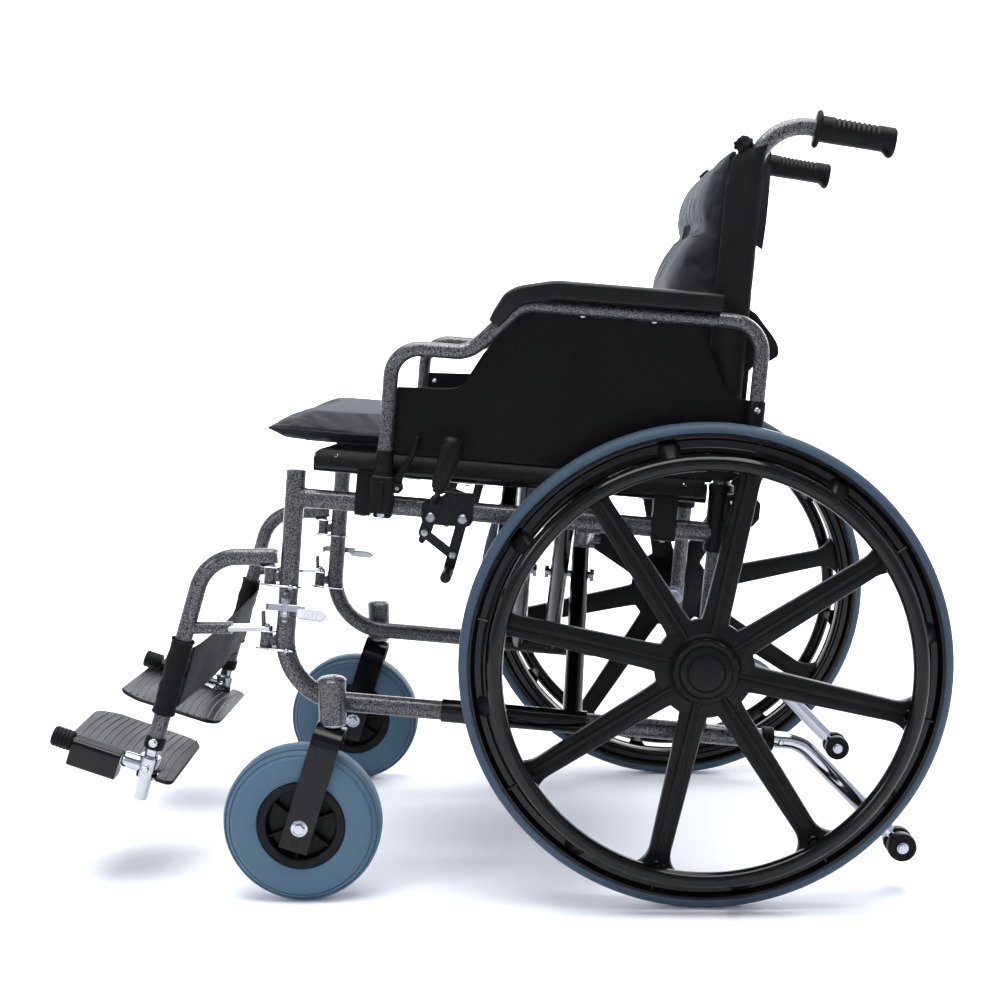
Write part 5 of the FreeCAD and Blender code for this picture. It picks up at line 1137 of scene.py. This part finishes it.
def tip_wheels():
    made = []
    for way in (1, -1):
        profile = [(5, 4.4), (5, 8), (6, 8.4), (6, 14), (5.2, 15.4), (5.4, 17.2), (6.6, 18.2), (9, TIP_WHEEL),
                   (15, TIP_WHEEL), (17.4, 18.2), (18.6, 17.2), (18.8, 15.4), (18, 14), (18, 8.4), (19, 8),
                   (19, 4.4)]
        made.append(lathe("wheel", [(z * way, r) for z, r in profile], "matte",
                          on_rail(TIP_AXLE, OUT), 48, loop=True))
        made.append(hex_head("nut", on_rail(TIP_AXLE + OUT * 19.2 * way, OUT * way), 9, 4.6))
    return merged("left_antitip_wheels_look", made)


def tip_details():
    return lathe("left_antitip_button", [(9.6, 3.4), (12.4, 3.4), (13.6, 2.4), (13.9, 0)], "chrome",
                 on_rail((RAIL_X, 112, LOWER), OUT), 18)


show(tip_wheels(), "left_antitip_wheels", "left_antitip_wheels")
show(tip_details(), "left_antitip")


# ---------------------------------------------------------------------------
# Screws that hold the sling to the seat rails
# ---------------------------------------------------------------------------
def sling_screws(name, side):
    x, n = side * (RAIL_X + TUBE * 0.7), SEAT_RAIL + TUBE * 0.72
    heads = [dome_head("screw", on_rail((x, u, n), (side, 0, 1)), 4.2, 2.6) for u in (-480, -330, -180, -40)]
    return merged(name + "_sling_screws", heads)


# Each seat rail belongs to the brace whose foot is on the other side.
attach(sling_screws("left", 1), "cross_right")
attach(sling_screws("right", -1), "cross_left")


# ---------------------------------------------------------------------------
# Soft parts: cushions, sling, back and calf strap
# ---------------------------------------------------------------------------
HALF_BACK, BACK_FOOT, BACK_SEAM, BACK_TOP = 205, 274, 545, 640
# Voxel of the cushions' skins in metres, and how the cloth behaves under pressure.
PILLOW = 0.0045
CLOTH_FRAMES = 20
# Stations across a narrow strip of cloth, from its post to its free edge.
ACROSS = (0, 0.25, 0.5, 0.75, 1)
CLOTH = {"use_pressure": True, "vertex_group_mass": "held", "shrink_min": -0.02, "bending_stiffness": 0.6,
         "tension_stiffness": 12, "compression_stiffness": 12, "shear_stiffness": 4, "quality": 4}


def pillow_skin(name, columns):
    """A skin over rings of equal length, closed at both ends with a fan."""
    count = len(columns[0])
    verts = [point for ring in columns for point in ring]
    faces = ring_faces(len(columns), count)
    for row in (0, len(columns) - 1):
        ring = columns[row]
        centre = sum((Vector(p) for p in ring), Vector()) / count
        verts.append(centre)
        faces += [[len(verts) - 1, row * count + k, row * count + (k + 1) % count] for k in range(count)]
    return piece(name, verts, faces, "cushion", IN_RAIL, 180)


def applied(obj, modifier):
    bpy.context.view_layer.objects.active = obj
    bpy.ops.object.modifier_apply(modifier=modifier.name)


def inflate(obj, held, pressure, cap):
    """Remeshes a closed skin, blows it up as cloth with some of it held, and keeps the wrinkled result."""
    mesh = obj.data
    remesh = obj.modifiers.new("remesh", "REMESH")
    remesh.mode = "VOXEL"
    remesh.voxel_size = PILLOW
    applied(obj, remesh)
    rest = [v.co.copy() for v in mesh.vertices]
    group = obj.vertex_groups.new(name="held")
    inverse = IN_RAIL.inverted()
    for v in mesh.vertices:
        weight = held(inverse @ v.co)
        if weight > 0:
            group.add([v.index], weight, "REPLACE")
    cloth = obj.modifiers.new("cloth", "CLOTH")
    for key, value in CLOTH.items():
        setattr(cloth.settings, key, value)
    cloth.settings.uniform_pressure_force = pressure
    cloth.settings.effector_weights.gravity = 0
    cloth.collision_settings.use_collision = False
    cloth.point_cache.frame_start = 1
    cloth.point_cache.frame_end = CLOTH_FRAMES
    for frame_number in range(1, CLOTH_FRAMES + 1):
        SCENE.frame_set(frame_number)
    applied(obj, cloth)
    SCENE.frame_set(1)
    limit = cap / 1000
    for v, start in zip(mesh.vertices, rest):
        move = v.co - start
        if move.length > limit:
            v.co = start + move.normalized() * limit
    obj.vertex_groups.clear()
    smoother = obj.modifiers.new("smooth", "SUBSURF")
    smoother.levels = smoother.render_levels = 1
    applied(obj, smoother)
    mesh.shade_smooth()


def seat_cushion_skin():
    """Boxed pillow with pulled-out corners and a seam round its middle."""
    half, front, rear, low, high = 206, -574, -38, 227.5, 263
    middle = (low + high) / 2 - 1
    columns = []
    for i in range(33):
        t = i / 32
        end = min(t, 1 - t) * 2
        fat = min(1, (end / 0.16)) ** 0.5 if end < 0.16 else 1
        u = front + (rear - front) * t
        wide = half - 5 * math.sin(math.pi * t) + 3 * (1 - fat)
        ring = []
        for a in circle(48):
            c, s = math.cos(a), math.sin(a)
            x = wide * math.copysign(abs(c) ** 0.32, c)
            rise = (high - middle if s > 0 else middle - low) * (0.16 + 0.84 * fat)
            ring.append((x, u, middle + rise * math.copysign(abs(s) ** 0.62, s)))
        columns.append(ring)
    return pillow_skin("seat_cushion_look", columns)


def hem(path, radius, steps=6, material="thread", place=IN_RAIL):
    """A round cord or folded edge along a path."""
    return sweep("hem", path, ring_section(radius, steps), material, place, angle=60)


def surface_of(obj):
    """A finder of the point of a finished skin that is closest to a point in rail space, with some lift."""
    inverse = IN_RAIL.inverted()

    def find(point, lift):
        _, where, normal, _ = obj.closest_point_on_mesh(IN_RAIL @ Vector(point))
        return inverse @ (where + normal * lift / 1000)
    return find


def seat_cushion():
    obj = seat_cushion_skin()
    seam = 244.5

    def held(p):
        at_edge = abs(p.x) > 196 or p.y < -562 or p.y > -48
        return 1.0 if p.z < 232 or abs(p.z - seam) < 3.5 and at_edge else 0.0
    inflate(obj, held, 5.0, 8)
    near = surface_of(obj)
    loop = rounded([(x, u, seam) for x, u in rect(-207, -576, 207, -37)], 12, 5)
    route = []
    for a, b in zip(loop, loop[1:] + loop[:1]):
        steps = max(1, round((b - a).length / 14))
        route += [near(a.lerp(b, k / steps), 0.6) for k in range(steps)]
    return obj, sweep("seat_cushion_piping", route + route[:1], ring_section(2.0, 8), "piping", caps=False,
                      angle=60)


def back_profile(n):
    """Front face of the cushion at a height: a full lower pillow, a pinched seam and a flatter upper one."""
    if n < BACK_SEAM:
        t = (n - BACK_FOOT) / (BACK_SEAM - BACK_FOOT)
        return -54 - 20 * math.sin(math.pi * min(1, t * 0.92 + 0.06)) ** 0.5 + 22 * smooth(0.86, 1, t) * 0.5
    t = (n - BACK_SEAM) / (BACK_TOP - BACK_SEAM)
    return -46 - 12 * math.sin(math.pi * min(1, t * 0.9 + 0.1)) ** 0.6 + 26 * t


def back_cushion_skin():
    """Two stacked pillows whose sides are pinched at the piped edge and the middle seam."""
    rear, middle = -8.5, -20
    columns = []
    for i in range(61):
        n = BACK_FOOT + 4 + (BACK_TOP - BACK_FOOT - 6) * i / 60
        end = min(n - BACK_FOOT, BACK_TOP - n)
        fat = min(1, end / 26) ** 0.5
        face = rear - 5 + (back_profile(n) - rear + 5) * (0.25 + 0.75 * fat)
        pinch = 1 - 0.10 * math.exp(-((n - BACK_SEAM) / 9) ** 2)
        ring = []
        for a in circle(56):
            c, s = math.cos(a), math.sin(a)
            x = (HALF_BACK - 3 * (1 - fat)) * math.copysign(abs(c) ** 0.36, c) * (0.99 + 0.01 * pinch)
            side = face if s > 0 else rear
            u = middle + (side - middle) * abs(s) ** (0.62 if s > 0 else 0.3) * (pinch if s > 0 else 1)
            ring.append((x, u, n))
        columns.append(ring)
    return pillow_skin("back_cushion_look", columns)


def back_cushion():
    obj = back_cushion_skin()

    def held(p):
        at_seam = abs(p.z - BACK_SEAM) < 3.4 and p.y < -24
        return 1.0 if p.y > -13 or at_seam or abs(abs(p.x) - 203) < 4 and p.y > -26 else 0.0
    inflate(obj, held, 6.0, 11)
    near = surface_of(obj)
    made = []
    for way in (1, -1):
        loop = [(way * 206, -20, BACK_FOOT + 6 + (BACK_TOP - BACK_FOOT - 14) * k / 48) for k in range(49)]
        made.append(hem([near(p, 0.8) for p in loop], 2.1, 8, "piping"))
    across = [(-196 + 392 * k / 60, -70, BACK_SEAM) for k in range(61)]
    made.append(hem([near(p, -0.4) for p in across], 1.3, 8))
    return obj, merged("back_cushion_piping", made)


def thickened(obj, thick, offset):
    solid = obj.modifiers.new("thickness", "SOLIDIFY")
    solid.thickness = thick / 1000
    solid.offset = offset
    applied(obj, solid)
    return obj


def strip(rows, material, thick, place=IN_RAIL):
    """Thin cloth over rows of points, given both faces and closed edges."""
    width = len(rows[0])
    verts = [Vector(p) for row in rows for p in row]
    faces = [[r * width + k, r * width + k + 1, (r + 1) * width + k + 1, (r + 1) * width + k]
             for r in range(len(rows) - 1) for k in range(width - 1)]
    return thickened(piece("cloth", verts, faces, material, place, 180), thick, 0)


def seat_sling():
    """Cloth hung between the seat rails and screwed to the outside of each."""
    r = TUBE + 1.3
    start, end = -505, -15
    half = [(RAIL_X + r * math.cos(a), SEAT_RAIL + r * math.sin(a))
            for a in (math.radians(-15 + 7.5 * k) for k in range(15))]
    inner = RAIL_X - 4
    sag = [(inner * (1 - 2 * k / 24), SEAT_RAIL + r - 7 * math.sin(math.pi * k / 24)) for k in range(1, 24)]
    path = half + sag + [(-x, n) for x, n in reversed(half)]
    rows = []
    for k in range(91):
        u = start + (end - start) * (k / 90)
        ripple = 0.5 * math.sin(u / 9) * math.sin(u / 31)
        rows.append([(x, u, n - abs(ripple) * (1 - abs(x) / 260)) for x, n in path])
    made = [strip(rows, "sling", 1.6)]
    flat_cord = [(0.8 * c, 0.5 * s) for c, s in ring_section(1, 6)]
    for u in (start + 1, start + 16, end - 16, end - 1):
        line = [(x * 1.001, u, n + 0.9 if abs(x) < RAIL_X else n) for x, n in path]
        made.append(sweep("hem", line, flat_cord, "thread", IN_RAIL, BACK, angle=60))
    return merged("seat_sling_look", made)


def back_sheet():
    """Cloth back between the posts: a flat sheet behind the cushion with hems along its top and foot."""
    front, half = POST_U + 6, 214
    rows = []
    for k in range(61):
        n = 237 + 369 * k / 60
        bow = 4 * math.sin(math.pi * k / 60)
        rows.append([(-half + 2 * half * j / 24, front + bow * math.sin(math.pi * j / 24)
                      + 0.7 * math.sin(j * 0.9 + k * 0.35), n) for j in range(25)])
    made = [strip(rows, "sling", 1.6)]
    for k in (1, 3, 57, 59):
        made.append(hem([(x, u + 1.2, n) for x, u, n in rows[k]], 0.7))
    return merged("back_upholstery_look", made)


def post_centre(n):
    """How far back the post's axis is at a height, round the start of its bend."""
    rise = max(0, n - (HANDLE_RISE - HANDLE_BEND))
    return POST_U + HANDLE_BEND - math.sqrt(HANDLE_BEND ** 2 - rise * rise)


def post_sleeve(name, side):
    """Cloth wrapped round a back post and drawn forward to the cushion, with bound ends."""
    foot, top, steps, count = 236, 641, 44, 84
    seed = 0.7 if side > 0 else 2.1

    def ring(n, grow=0.0):
        forward = 1.25 * smooth(foot, foot + 40, n) * (1 - 0.35 * smooth(top - 50, top, n))
        points = []
        for a in circle(steps):
            c, s = math.cos(a), math.sin(a)
            fold = 0.35 * math.sin(n / 8 + seed + 2 * s) + 0.25 * math.sin(n / 3.7 + 3 * a)
            r = 13 + grow + 0.4 * fold
            pull = 1 + forward * max(0, -s) ** 2
            pinch = 1 - 0.5 * forward * max(0, -s) ** 3
            leaned = n + 5 * s * (n > 600)
            points.append((side * (RAIL_X + r * c * pinch), post_centre(n) + r * s * pull, leaned))
        return points

    verts = [p for row in range(count) for p in ring(foot + (top - foot) * row / (count - 1))]
    skin = piece("cloth", verts, ring_faces(count, steps), "sling", IN_RAIL, 180)
    made = [thickened(skin, 1.0, -1)]
    for n in (foot + 1, foot + 7, top - 7, top - 1):
        loop = ring(n, 0.4)
        made.append(hem(loop + loop[:1], 0.8))
    return merged(name + "_back_sleeve", made)


def cloth_knot(name, side):
    """The gathered corner where the back cloth is tied off at the top of its post."""
    verts = []
    rows, steps = 22, 28
    for r in range(rows + 1):
        t = math.pi * r / rows
        for a in circle(steps):
            lump = 1 + 0.16 * math.sin(3 * a + 4 * t) + 0.1 * math.sin(5 * a - 7 * t)
            lump += 0.06 * math.sin(9 * a + 11 * t)
            verts.append((side * (RAIL_X - 1 + 9 * lump * math.sin(t) * math.cos(a)),
                          POST_U - 13 + 11 * lump * math.sin(t) * math.sin(a), 642 + 10 * math.cos(t) * lump))
    return piece(name + "_cloth_knot", verts, ring_faces(rows + 1, steps), "sling", IN_RAIL, 180)


def edged_strip(name, rows, material, thick, radius, edge):
    return merged(name, [strip(rows, material, thick), hem([row[-1] for row in rows], radius, 8, edge)])


def rear_flap(name, side):
    """Cloth strip that hangs behind the post from the knot, with a hem down its edge."""
    rows = []
    for k in range(31):
        t = k / 30
        n = 622 - 98 * t
        deep = 12 + 2 * math.sin(2.6 * t) - 2 * t
        row = []
        for v in ACROSS:
            x = side * (RAIL_X - 3 + 1.5 * math.sin(5 * t + 3 * v))
            row.append((x, POST_U + 10 + deep * v, n - 6 * v * t))
        rows.append(row)
    return edged_strip(name + "_rear_flap", rows, "flap", 1.8, 1.2, "sling")


def back_fin(name, side):
    """Stiff black corner of the back cloth that stands out behind the post above the arm."""
    rows = []
    for k in range(25):
        t = k / 24
        n = 452 - 128 * t
        deep = 12 * smooth(0, 0.1, t) + 34 * smooth(0, 0.42, t) * (1 - smooth(0.45, 0.62, t))
        row = []
        for v in ACROSS:
            x = side * (RAIL_X - 4 + 2.5 * math.sin(3 * t + 2 * v))
            row.append((x, POST_U + 8 + deep * v, n - 4 * v))
        rows.append(row)
    return edged_strip(name + "_back_fin", rows, "sling", 2.0, 1.3, "thread")


def calf_cloth():
    """Band between the hangers behind the sitter's calves, with soft folds and stitched hems."""
    low = down_hanger(CALF_START)
    across = HANGER_DOWN.cross(OUT).normalized()
    across = across if across.y > 0 else -across
    rows = []
    for k in range(25):
        d = (CALF_END - CALF_START) * k / 24
        row = []
        for j in range(61):
            t = j / 60
            x = (RAIL_X - 3) * (1 - 2 * t)
            back = 14.5 + 5 * math.sin(math.pi * t) + 1.2 * math.sin(9 * t + d / 22) + 0.6 * math.sin(23 * t)
            centre = Vector((x, low.y, low.z)) + HANGER_DOWN * (d + 3 * math.sin(math.pi * t))
            row.append(centre + across * back)
        rows.append(row)
    made = [strip(rows, "sling", 2.2, IN_LEVEL)]
    for k in (1, 3, 21, 23):
        made.append(hem([p - across * 1.1 for p in rows[k]], 0.8, place=IN_LEVEL))
    return merged("calf_strap_look", made)


def calf_sleeve(name, side):
    """Loop of the calf band round a hanger."""
    length, steps, count = CALF_END - CALF_START + 20, 36, 30
    start = down_hanger(CALF_START - 8)
    start.x *= side
    frame_at = at(start, HANGER_DOWN, OUT)
    verts = []
    for s in range(count):
        d = length * s / (count - 1)
        for a in circle(steps):
            r = 14.4 + 0.5 * math.sin(d / 6 + 2 * a) + 0.3 * math.sin(d / 2.9 - a)
            verts.append(frame_at @ Vector((r * math.cos(a), r * math.sin(a), d)))
    made = [piece("loop", verts, ring_faces(count, steps), "sling", IN_LEVEL, 180)]
    for d in (1.5, length - 1.5):
        ring = [frame_at @ Vector((x, y, d)) for x, y in ring_section(14.7, 30)]
        made.append(hem(ring + ring[:1], 1, place=IN_LEVEL))
    return merged(name + "_calf_sleeve", made)


def soft_parts():
    seat, cord = seat_cushion()
    show(seat, "seat", "seat_cushion", both=False)
    sling = show(seat_sling(), "seat", "seat_sling", both=False)
    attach(cord, "seat")
    for obj in (seat, cord, sling):
        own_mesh(obj)
    back, edge = back_cushion()
    show(back, "left_frame", "back_cushion", both=False)
    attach(edge, "left_frame")
    sheet = show(back_sheet(), "left_frame", "back_upholstery", both=False)
    calf = show(calf_cloth(), "left_hanger", "calf_strap", both=False)
    for obj in (back, edge, sheet, calf):
        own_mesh(obj)
    for name, side in SIDES:
        makers = (post_sleeve, cloth_knot, rear_flap, back_fin, calf_sleeve)
        sleeve, knot, flap, fin, loop = (make(name, side) for make in makers)
        for obj in (sleeve, knot, flap, fin):
            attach(obj, name + "_frame")
        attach(loop, name + "_hanger")


soft_parts()


# ---------------------------------------------------------------------------
# Tubes and flat parts kept from the frame get their finish.
# ---------------------------------------------------------------------------
PLAIN = {
    "side_frame": "hammer", "hanger": "hammer", "armrest_tube": "hammer", "side_link": "hammer",
    "frame_fittings": "matte", "hand_grip": "matte", "brake_bracket": "paint", "frame_bolts": "zinc",
    "rear_tyre": "tyre", "rear_wheel": "wheel", "handrim": "gloss", "caster_fork": "paint",
    "caster_tyre": "caster_tyre", "caster_hub": "wheel", "footrest_tube": "chrome", "hanger_latch": "zinc",
    "footplate_pivot": "matte", "footplate": "matte", "antitip_tube": "chrome", "antitip_wheels": "matte",
    "arm_pad": "panel", "skirt_panel": "panel", "arm_lever": "matte", "brake_lever": "zinc",
    "brake_link": "paint", "brake_shoe": "zinc", "cross_brace": "paint", "brace_bolts": "zinc",
}
for label, obj in frame["nodes"].items():
    key = label.split("_", 1)[1]
    chosen = MAT[PLAIN.get(key, PLAIN.get(label, "matte"))]
    obj.data.materials.clear()
    obj.data.materials.append(chosen)
    obj.data.shade_smooth()
    obj.data.set_sharp_from_angle(angle=math.radians(35))


# ---------------------------------------------------------------------------
# Camera, light and floor
# ---------------------------------------------------------------------------
camera = linked("camera", bpy.data.cameras.new("camera"))
look = Vector((-0.99246, -0.03611, -0.11716)).normalized()
up = Vector((-0.03495, 0.99932, -0.01202)).cross(look).normalized()
aimed = Matrix((look.cross(up), up, -look)).transposed().to_4x4()
camera.matrix_world = shift(2.187, AXLE.y - 0.181, 0.740) @ aimed
camera.data.sensor_width = 36
camera.data.lens = 56.1
camera.data.clip_start = 0.05
camera.data.clip_end = 50
SCENE.camera = camera


def lamp(name, place, aim, width, power):
    data = bpy.data.lights.new(name, "AREA")
    data.shape = "RECTANGLE"
    data.size = width
    data.size_y = width
    data.energy = power
    obj = linked(name, data)
    obj.location = place
    obj.rotation_euler = (Vector(aim) - Vector(place)).to_track_quat("-Z", "Y").to_euler()


def backdrop():
    """A level floor that turns up into a far wall on every side, as one bowl."""
    steps, flat, bend, wall = 96, 5.5, 3, 8.5
    profile = [(2, 0), (4, 0), (flat, 0)]
    for degrees in range(10, 100, 10):
        a = math.radians(degrees)
        profile.append((flat + bend * math.sin(a), bend - bend * math.cos(a)))
    profile += [(wall, 4), (wall, 5)]
    verts = [(r * math.cos(a), r * math.sin(a), z) for r, z in profile for a in circle(steps)] + [(0, 0, 0)]
    faces = [[len(verts) - 1, k, (k + 1) % steps] for k in range(steps)]
    faces += [face[::-1] for face in ring_faces(len(profile), steps)]
    mesh = bpy.data.meshes.new("floor")
    mesh.from_pydata(verts, [], faces)
    mesh.shade_smooth()
    obj = linked("floor", mesh)
    g = Graph("floor_paper", (0.93, 0.935, 0.97), 0.75, specular=0.15)
    g.colour(g.blend(g.noise(0.8, 2.0), (0.925, 0.94, 0.985), (0.95, 0.962, 0.995)))
    mesh.materials.append(g.material)


backdrop()
world = bpy.data.worlds.new("studio")
SCENE.world = world
world.use_nodes = True
sky = world.node_tree.nodes["Background"].inputs
sky["Color"].default_value = (0.82, 0.87, 1.0, 1)
sky["Strength"].default_value = 0.36
lamp("top_light", (0.2, 0.0, 3.4), (0, 0, 0.4), 3.0, 215)
lamp("front_light", (2.6, -2.6, 1.9), (0, 0, 0.5), 0.9, 24)
lamp("back_light", (-2.4, 1.6, 2.0), (0, 0, 0.5), 2.0, 55)
lamp("wall_light", (-3.6, 0, 4.6), (-8.5, 0, 1.2), 5.0, 950)
SCENE.view_settings.view_transform = "Standard"
